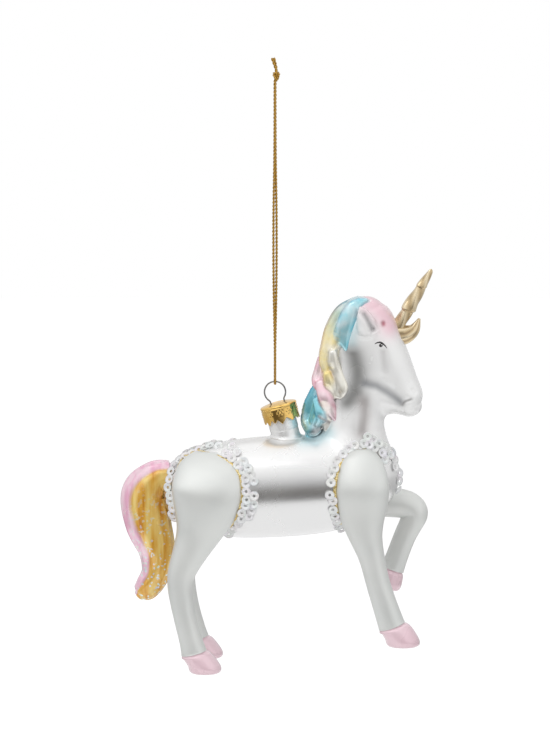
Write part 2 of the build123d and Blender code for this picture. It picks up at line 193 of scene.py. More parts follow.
# %% [markdown]
# Some skins go through modifiers first. Each finished one is put on its body, with its finish,
# in place of the CAD nodes that it stands for.

# %% Dressing a piece
def baked(name, source, *modifiers):
    """A new mesh with the given modifiers applied: each is a kind and its settings."""
    holder = new_object(name, source)
    for kind, settings in modifiers:
        modifier = holder.modifiers.new(kind.lower(), kind)
        for key, value in settings.items():
            setattr(modifier, key, value)
    graph = bpy.context.evaluated_depsgraph_get()
    mesh = bpy.data.meshes.new_from_object(holder.evaluated_get(graph))
    bpy.data.objects.remove(holder)
    mesh.name = name
    mesh.polygons.foreach_set("use_smooth", [True] * len(mesh.polygons))
    return mesh


def dress(name, form, body, material, slot, *nodes):
    """Puts a mesh or shells of rings on a body with its finish, in place of the named CAD nodes."""
    mesh = form if isinstance(form, bpy.types.Mesh) else skin_of(name, form)
    item = new_object(name, mesh)
    mesh.materials.clear()
    mesh.materials.append(material)
    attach(item, body)
    if nodes:
        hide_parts(*nodes)
    print(name, len(mesh.vertices), "points")
    return item


# %% [markdown]
# Finishes are node trees. These helpers keep each one short: one makes a material with its
# Principled shader and fixed sockets, the others place a node and set its inputs by name.

# %% Helpers for finishes
def feed(tree, node, inputs):
    """Links the sockets and sets the plain values among a node's inputs."""
    for key, value in inputs.items():
        if isinstance(value, bpy.types.NodeSocket):
            tree.links.new(value, node.inputs[key])
        else:
            node.inputs[key].default_value = value


def put(tree, kind, inputs=None, **settings):
    node = tree.nodes.new("ShaderNode" + kind)
    for key, value in settings.items():
        setattr(node, key, value)
    feed(tree, node, inputs or {})
    return node


def finish_of(name, **fixed):
    material = bpy.data.materials.new(name)
    material.use_nodes = True
    shader = material.node_tree.nodes["Principled BSDF"]
    feed(material.node_tree, shader, {key.replace("_", " "): value for key, value in fixed.items()})
    return material, material.node_tree, shader


def mixed(tree, factor, first, second):
    """Colour mix of two colours or sockets."""
    return put(tree, "Mix", {0: factor, 6: first, 7: second}, data_type="RGBA").outputs[2]


def ramp(tree, value, *stops):
    """Colour ramp with stops of place and colour."""
    node = put(tree, "ValToRGB", {"Fac": value})
    bar = node.color_ramp
    while len(bar.elements) < len(stops):
        bar.elements.new(0.5)
    for element, (place, colour) in zip(bar.elements, stops):
        element.position = place
        element.color = colour
    return node.outputs["Color"]


def spread(tree, value, start, stop, first=0.0, last=1.0, **settings):
    """Maps the range from start to stop to the one from first to last."""
    ranges = {"Value": value, "From Min": start, "From Max": stop, "To Min": first, "To Max": last}
    return put(tree, "MapRange", ranges, **settings).outputs["Result"]


def spot_in(tree):
    """Place on the object, in metres."""
    return put(tree, "TexCoord").outputs["Object"]


def speckle(tree, scale, detail):
    return put(tree, "TexNoise", {"Vector": spot_in(tree), "Scale": scale, "Detail": detail}).outputs["Fac"]


def bumped(tree, height, strength, distance):
    return put(tree, "Bump", {"Strength": strength, "Distance": distance, "Height": height}).outputs["Normal"]


def grey(value):
    return (value, value, value, 1.0)


# %% [markdown]
# Sprayed lacquer on glass is never quite even. One node group gives every lacquered piece the
# same two effects: broad soft mottling for colour and roughness, and the faint orange-peel
# height that a sprayed coat dries with. Each finish sets its own scale.

# %% Lacquer group
PEEL_DEPTH = 0.0002


def group_of(name, inputs, outputs):
    """Node group with float inputs and outputs of the given kinds, its entry's sockets and its exit."""
    group = bpy.data.node_groups.new(name, "ShaderNodeTree")
    for key, value in inputs.items():
        socket = group.interface.new_socket(key, in_out="INPUT", socket_type="NodeSocketFloat")
        socket.default_value = value
    for key, kind in outputs.items():
        group.interface.new_socket(key, in_out="OUTPUT", socket_type="NodeSocket" + kind)
    entry = group.nodes.new("NodeGroupInput")
    return group, entry.outputs, group.nodes.new("NodeGroupOutput")


lacquer, entry, leave = group_of("sprayed_lacquer", {"Scale": 90.0, "Peel Scale": 900.0},
                                 {"Mottle": "Float", "Peel": "Float"})
feed(lacquer, leave, {"Mottle": speckle(lacquer, entry["Scale"], 4.0),
                      "Peel": speckle(lacquer, entry["Peel Scale"], 1.0)})


def add_lacquer(tree, shader, scale, rough, peel=0.02, peel_scale=900.0):
    """Places the lacquer group: varied roughness between two values, and peel as bump."""
    coat = put(tree, "Group", {"Scale": scale, "Peel Scale": peel_scale}, node_tree=lacquer).outputs
    feed(tree, shader, {"Roughness": spread(tree, coat["Mottle"], 0.3, 0.7, *rough),
                        "Normal": bumped(tree, coat["Peel"], peel, PEEL_DEPTH)})
    return coat["Mottle"]


print("lacquer group with", len(lacquer.nodes), "nodes")

# %% [markdown]
# The cord is a twisted metallic thread. Its line is a smooth spline through the few points
# where it bends: from the knot down, round the wire, and back up.

# %% Cord line
SEAT = 0.68
ONE_STRAND = [(0.1, 0.42, -0.1), (0.1, 0.42, -22.0), (0.5, 0.15, -40.0), (0.5, 0.15, -62.0),
              (0.0, SEAT, -85.3), (0.0, SEAT, -90.0), (0.0, SEAT, -94.8), (0.0, SEAT, -95.5)]
CORD_ROUTE = [(-x, -y, z) for x, y, z in ONE_STRAND] + ONE_STRAND[::-1]


def line_of(name, points, resolution=24):
    """Points along the smooth spline of a route, in metres."""
    curve = bpy.data.curves.new(name, "CURVE")
    curve.dimensions = "3D"
    curve.resolution_u = resolution
    spline = curve.splines.new("NURBS")
    spline.points.add(len(points) - 1)
    for target, p in zip(spline.points, points):
        target.co = (*(Vector(p) * MM), 1.0)
    spline.order_u = 3
    spline.use_endpoint_u = True
    holder = new_object(name, curve)
    mesh = bpy.data.meshes.new_from_object(holder)
    line = [v.co.copy() for v in mesh.vertices]
    bpy.data.objects.remove(holder)
    bpy.data.meshes.remove(mesh)
    return line


cord_line = line_of("cord_route", CORD_ROUTE)
cord_length = sum((b - a).length for a, b in zip(cord_line, cord_line[1:]))
print("cord loop length", round(cord_length, 4))

# %% [markdown]
# Two plies wind round points read evenly from that line, which looks like a thread and not
# like a rod. Each ring keeps the direction of the one before, so the plies don't jump.

# %% Twisted plies
PER_TURN = 10


def evenly(line, step):
    """The same line with points one step apart."""
    out, carry = [line[0]], 0.0
    for a, b in zip(line, line[1:]):
        length = (b - a).length
        while carry + length >= step and length > 0:
            a = a.lerp(b, (step - carry) / length)
            out.append(a)
            length = (b - a).length
            carry = 0.0
        carry += length
    out.append(line[-1])
    return out


def round_ring(middle, u, v, radius, angles):
    return [middle + (u * cos(angle) + v * sin(angle)) * radius for angle in angles]


def twisted(lines, ply, offset, pitch, around=7):
    """Plies of a thread that wind round each line; sizes in millimetres."""
    shells = []
    for line in lines:
        path = evenly(line, pitch * MM / PER_TURN)
        side = Vector((1, 0, 0))
        frames = []
        for i, p in enumerate(path):
            before, after = beside(path, i)
            along = (after - before).normalized()
            side = (side - along * side.dot(along)).normalized()
            frames.append((p, side.copy(), along.cross(side)))
        for start in (0.0, pi):
            rings = []
            for i, (p, u, v) in enumerate(frames):
                turn = start + 2 * pi * i / PER_TURN
                middle = p + (u * cos(turn) + v * sin(turn)) * (offset * MM)
                rings.append([q / MM for q in round_ring(middle, u, v, ply * MM, circle(around))])
            shells.append(rings)
    return shells


print("cord in", len(evenly(cord_line, MM)), "steps of 1 mm")

# %% [markdown]
# Metallic thread is fine flat foil wound round a core. A tight diagonal wave gives the foil's
# glints and dark gaps, and the shader stays a rough-edged metal.

# %% Gold thread finish
thread, tree, shader = finish_of("gold_thread", Metallic=0.85)
wave = put(tree, "TexWave", {"Vector": spot_in(tree), "Scale": 900.0, "Distortion": 6.0, "Detail": 2.0},
           bands_direction="DIAGONAL").outputs["Fac"]
foil = speckle(tree, 1800.0, 2.0)
gold = ramp(tree, wave, (0.0, (0.055, 0.026, 0.005, 1)), (0.45, (0.35, 0.18, 0.026, 1)),
            (1.0, (0.86, 0.56, 0.13, 1)))
feed(tree, shader, {"Base Color": mixed(tree, foil, gold, (0.42, 0.23, 0.04, 1)),
                    "Roughness": spread(tree, foil, 0.0, 1.0, 0.22, 0.5),
                    "Normal": bumped(tree, wave, 0.4, 0.0001)})
cord = dress("gold_cord_loop", twisted([cord_line], 0.25, 0.19, 2.3), "cord", thread, "gold_cord",
             "cord_loop")

# %% [markdown]
# The loop closes in one overhand knot. A trefoil line is exactly that knot pulled tight, so
# the same twisted plies follow a small trefoil. Two short free ends lean out above it.

# %% Knot and free ends
KNOT_STEPS = 160
knot_line = []
for i in range(KNOT_STEPS + 1):
    t = 2 * pi * i / KNOT_STEPS
    x = (sin(t) + 2 * sin(2 * t)) / 3
    z = (cos(t) - 2 * cos(2 * t)) / 3
    knot_line.append(Vector((0.42 + 0.85 * x, 0.6 * -sin(3 * t), 1.45 + 1.35 * z)) * MM)
knot = dress("overhand_knot", twisted([knot_line], 0.29, 0.2, 2.1), "cord", thread, "gold_cord",
             "cord_knot")
END_ROUTES = [
    [(0.1, -0.35, -0.3), (0.5, -0.3, 1.4), (0.35, -0.35, 3.3), (-0.35, -0.4, 5.2), (-1.0, -0.4, 7.0)],
    [(-0.1, 0.35, -0.3), (0.2, 0.2, 1.4), (0.55, 0.1, 3.4), (0.15, 0.2, 5.2), (-0.3, 0.3, 7.1)],
]
ends = [line_of("free_end", route) for route in END_ROUTES]
free_ends = dress("free_cord_ends", twisted(ends, 0.25, 0.19, 2.3), "cord", thread, "gold_cord",
                  "cord_ends")

# %% [markdown]
# The blown body is one skin: trunk, neck, head, jaw, ears and the stub's foot flow into each
# other. A voxel remesh of loose ovals joins them but leaves faint steps that shiny glass would
# show. So it only gives the points, and a later cell slides them onto a smooth surface.

# %% Body forms
NECK = [(-2.1, 3, 12, 9.5), (-1.8, 14, 10, 8), (-1.5, 24, 8.6, 6.8), (-1.3, 34, 8.2, 6.3),
        (-0.3, 44, 8.2, 6), (2.2, 52.5, 7, 5.6)]
HEAD = [(0.4, 54.2, 5.4, 4.2), (1.6, 51.8, 7.2, 6.2), (4.8, 45.9, 7.9, 6.9), (8.6, 38.8, 7.2, 6),
        (12.4, 31.7, 6, 4.7), (15.5, 26.8, 4.8, 4.3), (16.7, 24.4, 2.8, 2.7)]
JAW = [(4.0, 29.5, 5.0, 5.0), (8.4, 26.9, 4.4, 4.5), (12.4, 25.0, 3.0, 3.5), (14.0, 24.5, 2.4, 2.7)]
EAR = [(29.2, 3.4, -80.6, 1.8, 1.6), (29.0, 6.2, -77.8, 2.8, 1.9), (28.4, 7.6, -75.0, 2.8, 1.7),
       (27.5, 8.2, -72.4, 1.9, 1.2), (26.7, 8.3, -70.6, 0.6, 0.5)]
TRUNK_LONG, TRUNK_WIDE, TRUNK_HIGH = 37.0, 14.75, 16.2
TRUNK_RISE = tan(radians(3))
TRUNK_POWER = 2.5
TRUNK_RINGS = 48
FOOT_RADIUS = 4.5


def on_stub(radius, angle, height):
    """Point round the stub's axis, height measured up from the cap's top."""
    flat = STUB_SIDE * cos(angle) + LEFT * sin(angle)
    return CAP_TOP + flat * radius + STUB_UP * height


def lathe(profile, around, shape=None):
    """Rings of a profile of radius and height round the stub's axis. shape may bend each point."""
    rings = []
    for radius, height in profile:
        ring = []
        for angle in circle(around):
            r, h = shape(radius, height, angle) if shape else (radius, height)
            ring.append(on_stub(r, angle, h))
        rings.append(ring)
    return rings


limbs = [(flowing(at(SHOULDER, rows), 8), soft) for rows, soft in ((NECK, 5.0), (HEAD, 4.0), (JAW, 4.5))]
for side in (-1, 1):
    limbs.append((flowing([(x, side * y, z, d, w) for x, y, z, d, w in EAR], 6), 0.8))
trunk = []
for i in range(TRUNK_RINGS + 1):
    share = -cos(pi * i / TRUNK_RINGS)
    size = max((1 - abs(share) ** TRUNK_POWER) ** (1 / TRUNK_POWER), 0.03)
    x = TRUNK_LONG * share
    high, wide = TRUNK_HIGH * size, TRUNK_WIDE * size
    trunk.append((TRUNK_MIDDLE.x + x, 0, TRUNK_MIDDLE.z + x * TRUNK_RISE, high, wide))
shells = [oval_rings(trunk, 64), lathe([(FOOT_RADIUS, height) for height in (-8.2, -12.0, -20.0)], 48)]
for rows in [limb[0] for limb in limbs]:
    domed = rounded_end(rows, min(rows[-1][3:]))
    domed = rounded_end(domed[::-1], min(rows[0][3:]))
    shells.append(oval_rings(domed, 48))
body_mesh = baked("silver_body", skin_of("silver_body", shells),
                  ("REMESH", {"mode": "VOXEL", "voxel_size": 0.42 * MM}),
                  ("WELD", {"merge_threshold": 0.18 * MM}),
                  ("SMOOTH", {"factor": 0.5, "iterations": 24}))
print("body", len(body_mesh.vertices), "points")

# %% [markdown]
# A form's field is nought on its surface and grows outside, roughly in millimetres. For a limb
# it comes from the nearest place on its axis. The soft minimum of two fields is their union with
# a fillet, as hot glass melts together. Grooves for mouth, jaw and ears are added to the field
# near lines of the side view: depth, width and line.

# %% Smooth field of the body
FAR_FIELD = 50.0
LIMB_MARGIN = 20
FOOT_MIDDLE, FOOT_HALF, FOOT_SOFT = -14.1, 5.9, 1.2
GROOVES = [
    (0.5, 1.8, [(29.0, -94.6), (33.0, -95.4), (37.0, -97.7), (40.4, -100.8)]),
    (0.4, 0.7, [(40.3, -102.0), (40.9, -100.9), (43.0, -100.0)]),
    (0.25, 0.8, [(43.6, -97.2), (44.2, -97.8)]),
    (0.35, 1.6, [(33.8, -84.8), (34.8, -90.8)]),
    (1.1, 0.9, [(27.6, -72.6), (29.2, -75.0), (30.6, -77.6)]),
    (0.5, 0.7, [(34.0, -75.7), (34.1, -76.0)]),
    (0.9, 2.4, [(24.4, -86.0), (25.4, -93.0), (24.6, -101.0)]),
    (0.35, 1.5, [(26.8, -99.0), (26.6, -110.0)]),
]


def limb_field(points, rows):
    rows = np.array(rows)
    start, step = rows[:-1], rows[1:] - rows[:-1]
    way = step[:, :3]
    span = (way ** 2).sum(1)
    offset = points[:, None, :] - start[None, :, :3]
    share = np.clip((offset * way).sum(2) / span, 0, 1)
    best = ((offset - share[..., None] * way) ** 2).sum(2).argmin(1)
    share = share[np.arange(len(points)), best][:, None]
    row = start[best] + share * step[best]
    along = way[best] / np.sqrt(span[best])[:, None]
    q = points - row[:, :3]
    up = q[:, 2] * along[:, 0] - q[:, 0] * along[:, 2]
    over = (q * along).sum(1)
    depth, width = row[:, 3], row[:, 4]
    size = np.sqrt((up / depth) ** 2 + (q[:, 1] / width) ** 2 + (over / np.minimum(depth, width)) ** 2)
    return (size - 1) * 2 * depth * width / (depth + width)


def melt(a, b, soft):
    """Soft minimum of two fields."""
    h = np.clip(0.5 + 0.5 * (b - a) / soft, 0, 1)
    return b + (a - b) * h - soft * h * (1 - h)


def from_line(flat, line):
    """Distance of x, z places from a line of x, z places."""
    near = np.full(len(flat), 1e9)
    for a, b in zip(line, line[1:]):
        a, b = np.array(a), np.array(b)
        share = np.clip(((flat - a) @ (b - a)) / ((b - a) @ (b - a)), 0, 1)
        near = np.minimum(near, np.linalg.norm(flat - a - share[:, None] * (b - a), axis=1))
    return near


def body_field(points):
    q = points - np.array(TRUNK_MIDDLE)
    level = q[:, 2] - q[:, 0] * TRUNK_RISE
    across = np.sqrt((q[:, 1] / TRUNK_WIDE) ** 2 + (level / TRUNK_HIGH) ** 2)
    size = (np.abs(q[:, 0] / TRUNK_LONG) ** TRUNK_POWER + across ** TRUNK_POWER) ** (1 / TRUNK_POWER)
    field = (size - 1) * TRUNK_WIDE
    q = points - np.array(CAP_TOP)
    height = q @ np.array(STUB_UP)
    radius = np.linalg.norm(q - height[:, None] * np.array(STUB_UP), axis=1)
    foot = np.maximum(radius - FOOT_RADIUS, np.abs(height - FOOT_MIDDLE) - FOOT_HALF)
    field = melt(field, foot, FOOT_SOFT)
    for rows, soft in limbs:
        box = np.array(rows)[:, :3]
        low, high = box.min(0) - LIMB_MARGIN, box.max(0) + LIMB_MARGIN
        near = np.all((points > low) & (points < high), axis=1)
        value = np.full(len(points), FAR_FIELD)
        value[near] = limb_field(points[near], rows)
        field = melt(field, value, soft)
    both_sides = np.clip(np.abs(points[:, 1]) / 1.5, 0, 1)
    for depth, width, line in GROOVES:
        field += depth * np.exp(-(from_line(points[:, [0, 2]], line) / width) ** 2) * both_sides
    return field


print("field at the trunk's middle", body_field(np.array([TRUNK_MIDDLE]))[0].round(2))

# %% [markdown]
# Each round evens out the points, then a step down the slope of the field puts them on the
# surface. The last two rounds only step. The slope is also the exact normal, which is kept.
# Rays on the settled skin later tell how wide the body is at a place of the side view.

# %% Settle the body
PROBE = 0.05
OUTSIDE = 60.0


def points_of(mesh):
    """Points of a mesh as an array in millimetres."""
    points = np.empty(len(mesh.vertices) * 3)
    mesh.vertices.foreach_get("co", points)
    return points.reshape(-1, 3) / MM


def settle(mesh, field, rounds):
    """Slides the points of a mesh onto the surface where the field is nought, with its normals."""
    points, edges = points_of(mesh), np.empty(len(mesh.edges) * 2, dtype=np.int32)
    mesh.edges.foreach_get("vertices", edges)
    edges, count = edges.reshape(-1, 2), len(points)
    meets = np.bincount(edges.ravel(), minlength=count)[:, None]
    for turn in range(rounds):
        if turn < rounds - 2:
            around = np.zeros_like(points)
            for end in (0, 1):
                for axis in range(3):
                    around[:, axis] += np.bincount(edges[:, end], points[edges[:, 1 - end], axis], count)
            points = (points + around / meets) / 2
        value = field(points)
        slope = np.stack([(field(points + move) - value) / PROBE for move in np.eye(3) * PROBE], axis=1)
        steep = np.maximum((slope ** 2).sum(1), 0.05)
        points -= slope * np.clip(value / steep, -0.5, 0.5)[:, None]
    mesh.vertices.foreach_set("co", (points * MM).ravel())
    mesh.update()
    mesh.normals_split_custom_set_from_vertices(slope / np.sqrt(steep)[:, None])
    return float(np.abs(field(points)).mean())


def rays_on(mesh):
    return BVHTree.FromPolygons([v.co.copy() for v in mesh.vertices], [p.vertices[:] for p in mesh.polygons])


print("left over", round(settle(body_mesh, body_field, 9), 4), "mm")
body_tree = rays_on(body_mesh)


def from_side(x, z, side, tree=body_tree):
    """Place and normal where a ray from one side first meets the body or another piece."""
    return tree.ray_cast(Vector((x, side * OUTSIDE, z)) * MM, Vector((0, -side, 0)))[:2]


def side_at(x, z, side, tree=body_tree):
    """Half width of the body or another piece at a place of the side view, in millimetres."""
    place = from_side(x, z, side, tree)[0]
    return side * place.y / MM if place else 0.0


# %% [markdown]
# Colour was airbrushed over the silver: pink on the forelock, turquoise round the mane's foot.
# The soft grey behind the jowl, down the neck, under the jaw, in the mouth, under the eye and in the
# ear's hollow is painted shade. Soft strokes into a colour attribute give both: colour, strength,
# radius and a line of the side view. The alpha says how much paint or painted shade lies there.

# %% Airbrushed colours and painted shade
def srgb(r, g, b):
    """Linear colour from the 0-255 values of a paint chart."""
    linear = [((c / 255 + 0.055) / 1.055) ** 2.4 if c > 10 else c / 255 / 12.92 for c in (r, g, b)]
    return (*linear, 1.0)


def colour_layer(mesh, name, colours):
    layer = mesh.color_attributes.new(name, "FLOAT_COLOR", "POINT")
    layer.data.foreach_set("color", np.array(colours, dtype=float).ravel())


def airbrush_paint_and_shade(mesh, ground, strokes):
    """Paints soft strokes, of colour and of painted shade, over a ground into a colour attribute."""
    flat = points_of(mesh)[:, [0, 2]]
    paint = np.zeros((len(flat), 4)) + np.array(ground)
    for colour, strength, radius, line in strokes:
        mist = strength * np.exp(-(from_line(flat, line) / radius) ** 2)
        total = mist + paint[:, 3] * (1 - mist)
        part = np.where(total > 1e-4, mist / np.maximum(total, 1e-4), 0)[:, None]
        paint[:, :3] = paint[:, :3] * (1 - part) + np.array(colour[:3]) * part
        paint[:, 3] = total
    colour_layer(mesh, "paint", paint)


SILVER_GROUND = (0.9, 0.9, 0.9, 0.0)
airbrush_paint_and_shade(body_mesh, SILVER_GROUND, [
    (srgb(246, 196, 210), 0.75, 3.8, [(29.5, -69.0), (32.5, -71.0), (35.2, -74.5), (36.2, -76.5)]),
    (srgb(170, 60, 80), 0.8, 0.7, [(34.0, -75.7), (34.1, -76.1)]),
    (srgb(150, 215, 228), 0.35, 1.8, [(24.0, -69.5), (24.2, -76.0), (24.2, -82.0)]),
    (srgb(160, 224, 236), 0.4, 2.2, [(8.5, -112.5), (13.0, -112.5), (17.0, -110.5)]),
    # the grey strokes below are painted shade: behind the jowl, down the neck, under the jaw, in the mouth,
    # under the eye and in the ear's hollow
    (srgb(150, 150, 150), 0.4, 4.6, [(25.2, -88.0), (26.0, -94.5), (24.2, -100.0)]),
    (srgb(112, 112, 110), 0.78, 2.7,
     [(24.6, -85.6), (25.9, -90.5), (26.0, -94.5), (24.9, -98.0), (22.8, -101.0)]),
    (srgb(146, 136, 134), 0.6, 2.1, [(28.0, -100.5), (28.4, -105.0), (27.2, -110.5)]),
    (srgb(122, 124, 128), 0.78, 1.35, [(28.2, -94.8), (32.0, -95.6), (35.8, -97.9), (39.6, -100.8)]),
    (srgb(110, 106, 104), 0.6, 0.45, [(40.3, -102.0), (40.9, -100.9), (43.0, -100.0)]),
    (srgb(165, 160, 160), 0.3, 1.2, [(33.8, -84.8), (34.8, -90.4)]),
    (srgb(140, 140, 142), 0.7, 0.8, [(27.8, -72.8), (29.3, -75.2), (30.6, -77.6)]),
])
print("body painted with", len(body_mesh.color_attributes), "colour layer")

# %% [markdown]
# Silvering lies inside the glass and a satin lacquer outside, so the trunk is a slightly rough
# metal with a clear coat. Toward the sprayed head it turns whiter and less metallic.

# %% Satin silver
HEAD_FROM, HEAD_TO = -0.129, -0.099
silver, tree, shader = finish_of("satin_silver", Coat_Weight=0.35, Coat_Roughness=0.26)
mottle = add_lacquer(tree, shader, 60.0, (0.22, 0.3))
height = put(tree, "SeparateXYZ", {"Vector": spot_in(tree)}).outputs["Z"]
head = spread(tree, height, HEAD_FROM, HEAD_TO, interpolation_type="SMOOTHSTEP")
trunk_tone = mixed(tree, mottle, (0.70, 0.70, 0.705, 1), (0.76, 0.76, 0.755, 1))
plain = mixed(tree, head, trunk_tone, (0.93, 0.93, 0.925, 1))
# the paint attribute lays the airbrushed colours and the painted shade strokes over the silver
paint = put(tree, "Attribute", attribute_name="paint").outputs
feed(tree, shader, {"Base Color": mixed(tree, paint["Alpha"], plain, paint["Color"]),
                    "Metallic": spread(tree, head, 0.0, 1.0, 0.9, 0.1)})
dress("silver_body", body_mesh, "unicorn", silver, "silvered_glass", "glass_body")

# %% [markdown]
# The glass stub under the cap is a turned form: the lathe spins a profile of radius and height
# round the tilted axis of the cap. The stub is its own mesh, since it shows as a clean tube when
# the cap is pulled off.

# %% Glass stub
STUB = [(3.6, -9.5), (3.6, -2.2), (3.75, -2.0), (5.2, -1.95), (5.5, -2.2), (5.5, -3.3), (5.2, -3.7),
        (4.68, -4.3), (4.62, -6.0), (4.6, -8.6), (4.4, -9.5)]
stub_mesh = skin_of("glass_stub", [lathe(flowing(STUB, 4), 72)])
airbrush_paint_and_shade(stub_mesh, SILVER_GROUND, [(srgb(150, 220, 234), 0.5, 1.5, [(5.0, -104.0), (8.0, -112.0)])])
dress("glass_stub", stub_mesh, "unicorn", silver, "silvered_glass")

# %% [markdown]
# The mane is blown in relief: a crest over the neck, and on each side flat glossy locks. A lock
# has a pale middle and a deep edge at its root and at its tip, and a spine of x, z and half
# width. The crest's colour changes down the neck.

# %% Mane tables
PINK = srgb(250, 216, 226)
TURQUOISE = srgb(146, 220, 233)
YELLOW = srgb(246, 226, 146)
BLUES = (TURQUOISE, srgb(20, 152, 190))
GOLDS = (YELLOW, srgb(214, 166, 60))
ROSES = (PINK, srgb(212, 108, 142))
WINES = (PINK, srgb(150, 46, 78))
STONES = (srgb(246, 242, 228), srgb(124, 116, 84))
TEALS = (srgb(84, 172, 186), srgb(14, 84, 104))
CREST = [(7.0, 55.4, 0.8, 1.8), (3, 57.3, 1.6, 3.8), (-2, 56.3, 2.5, 5), (-6.4, 49.6, 2.8, 5.5),
         (-9.3, 41, 3, 5.6), (-10.7, 31, 3.2, 5.6), (-12.7, 22.5, 3, 5.2), (-15.4, 16.6, 2.2, 3.8),
         (-16.4, 13.6, 1.2, 2.4)]
CREST_BANDS = [(-60, TURQUOISE), (-76, TURQUOISE), (-81, YELLOW), (-90, YELLOW), (-93, PINK), (-97, PINK),
               (-101, TURQUOISE), (-120, TURQUOISE)]
LOCKS = [
    (BLUES, BLUES, [(29.2, -68.4, 0.4), (25.2, -70.4, 2.2), (22.5, -75.6, 3.0), (21.7, -80.3, 2.6),
                    (22.3, -84.7, 0.4)]),
    (BLUES, GOLDS, [(26.6, -68.0, 0.4), (21.3, -72.0, 1.8), (18.1, -77.2, 2.0), (16.4, -82.7, 1.8),
                    (15.4, -88.2, 1.6), (16.2, -92.2, 0.4)]),
    (STONES, STONES, [(18.1, -84.3, 1.2), (18.5, -87.9, 1.8), (19.7, -91.8, 2.0), (21.5, -96.2, 1.8),
                      (21.3, -99.3, 0.4)]),
    (ROSES, ROSES, [(14.8, -87.1, 1.2), (14.0, -91.8, 1.8), (13.8, -95.4, 2.0), (16.5, -98.5, 0.4)]),
    (GOLDS, STONES, [(16.2, -91.4, 1.2), (17.3, -95.0, 1.8), (19.3, -98.2, 1.6), (21.1, -99.7, 0.4)]),
    (ROSES, WINES, [(13.8, -94.2, 1.2), (15.4, -98.5, 2.2), (17.3, -102.5, 2.2), (19.3, -106.9, 0.6)]),
    (BLUES, TEALS, [(13.0, -96.2, 1.2), (11.6, -100.9, 2.2), (10.6, -104.9, 2.4), (10.4, -108.0, 2.2),
                    (12.2, -110.2, 2.0), (14.6, -109.6, 0.8)]),
    (STONES, STONES, [(15.4, -100.5, 1.0), (16.6, -104.0, 1.7), (16.8, -107.6, 1.8), (15.8, -110.4, 0.6)]),
    (BLUES, BLUES, [(12.6, -99.7, 1.0), (14.2, -104.1, 1.6), (15.8, -107.3, 0.4)]),
]


def blend_of(a, b, t):
    return tuple(x + (y - x) * t for x, y in zip(a, b))


def banded(x, z):
    """Paint of the crest: pink over the brow, then its bands."""
    if x > 27:
        return blend_of(TURQUOISE, PINK, min((x - 27) / 3, 1.0))
    for (z0, c0), (z1, c1) in zip(CREST_BANDS, CREST_BANDS[1:]):
        if z0 >= z >= z1:
            return blend_of(c0, c1, (z0 - z) / (z0 - z1))
    return TURQUOISE


print(len(LOCKS), "locks on each side")

# %% [markdown]
# Each lock is an oval tube whose spine is laid on the body or the crest, whichever stands out
# further, and evened out along its length. Points on the outer side know how near the middle of
# the lock they are, for the paint.

# %% Loose locks
AROUND_CREST, AROUND_LOCK = 40, 20
crest_rows = flowing(at(SHOULDER, CREST), 8)
crest_rings = oval_rings(crest_rows, AROUND_CREST)
crest_tree = rays_on(skin_of("crest", [crest_rings]))


def lock_rings(spine, side):
    """Rings of a lock laid on the body's side, and how near the middle each point is."""
    rows = flowing(spine, 8)
    reach = [max(side_at(x, z, side), side_at(x, z, side, crest_tree)) for x, z, half in rows]
    for turn in range(6):
        windows = [reach[max(i - 2, 0):i + 3] for i in range(len(reach))]
        reach = [sum(window) / len(window) for window in windows]
    rings, middles = [], []
    for i, (x, z, half) in enumerate(rows):
        before, after = beside(rows, i)
        across = Vector((before[1] - after[1], 0, after[0] - before[0])).normalized()
        ring = []
        for angle in circle(AROUND_LOCK):
            lift = (0.5 + 0.4 * half) * sin(angle) if sin(angle) > 0 else 1.6 * sin(angle)
            place = Vector((x, 0, z)) + across * half * cos(angle)
            ring.append(Vector((place.x, side * max(reach[i] + lift, 0.6), place.z)))
            middles.append(max(sin(angle), 0.0))
        rings.append(ring)
    return rings, middles


shells, paint = [crest_rings], []
for row in crest_rows:
    paint += [banded(row[0], row[2])] * AROUND_CREST
paint += [PINK, TURQUOISE]
for side in (-1, 1):
    for (pale0, deep0), (pale1, deep1), spine in LOCKS:
        rings, middles = lock_rings(spine, side)
        shells.append(rings)
        for i, middle in enumerate(middles):
            t = min(1.8 * (i // AROUND_LOCK) / (len(rings) - 1), 1.0)
            paint.append(blend_of(blend_of(deep0, deep1, t), blend_of(pale0, pale1, t), middle ** 0.6))
        paint += [deep0, deep1]
loose = skin_of("loose_locks", shells)
print("loose locks", len(loose.vertices), "points,", len(paint), "colours")

# %% [markdown]
# A fine remesh melts crest and locks into one skin, and every new point takes its paint from
# the old points round it. A few strokes then add darker edges at the mane's foot, and a dark wine
# line under the pink lock's lower end that is a painted shadow.

# %% Melted mane
nearby = KDTree(len(loose.vertices))
for i, vertex in enumerate(loose.vertices):
    nearby.insert(vertex.co, i)
nearby.balance()
mane_mesh = baked("pastel_mane", loose, ("REMESH", {"mode": "VOXEL", "voxel_size": 0.3 * MM}),
                  ("SMOOTH", {"factor": 0.5, "iterations": 9}))
melted = []
for vertex in mane_mesh.vertices:
    found = nearby.find_n(vertex.co, 6)
    shares = [1 / (far / MM + 0.3) ** 2 for place, i, far in found]
    for c in range(3):
        melted.append(sum(w * paint[i][c] for w, (place, i, far) in zip(shares, found)) / sum(shares))
    melted.append(1.0)
airbrush_paint_and_shade(mane_mesh, np.array(melted).reshape(-1, 4), [
    (srgb(150, 164, 100), 0.5, 0.9, [(9.0, -107.4), (9.8, -109.4)]),
    (srgb(8, 52, 68), 0.92, 1.35, [(12.3, -110.2), (14.4, -109.4)]),
    # painted shadow: the dark wine line under the lower end of the pink lock
    (srgb(62, 20, 40), 0.85, 0.5, [(13.9, -105.2), (16.2, -107.0), (18.4, -108.1)]),
    (srgb(176, 62, 96), 0.6, 0.8, [(18.6, -101.6), (19.4, -105.4)]),
    (srgb(150, 140, 110), 0.45, 0.6, [(19.2, -93.4), (20.6, -97.0), (20.8, -99.2)]),
])
print("mane", len(mane_mesh.vertices), "points")

# %% [markdown]
# The mane's lacquer is thin and glossy. Where it mottles, the pale silver shines through.

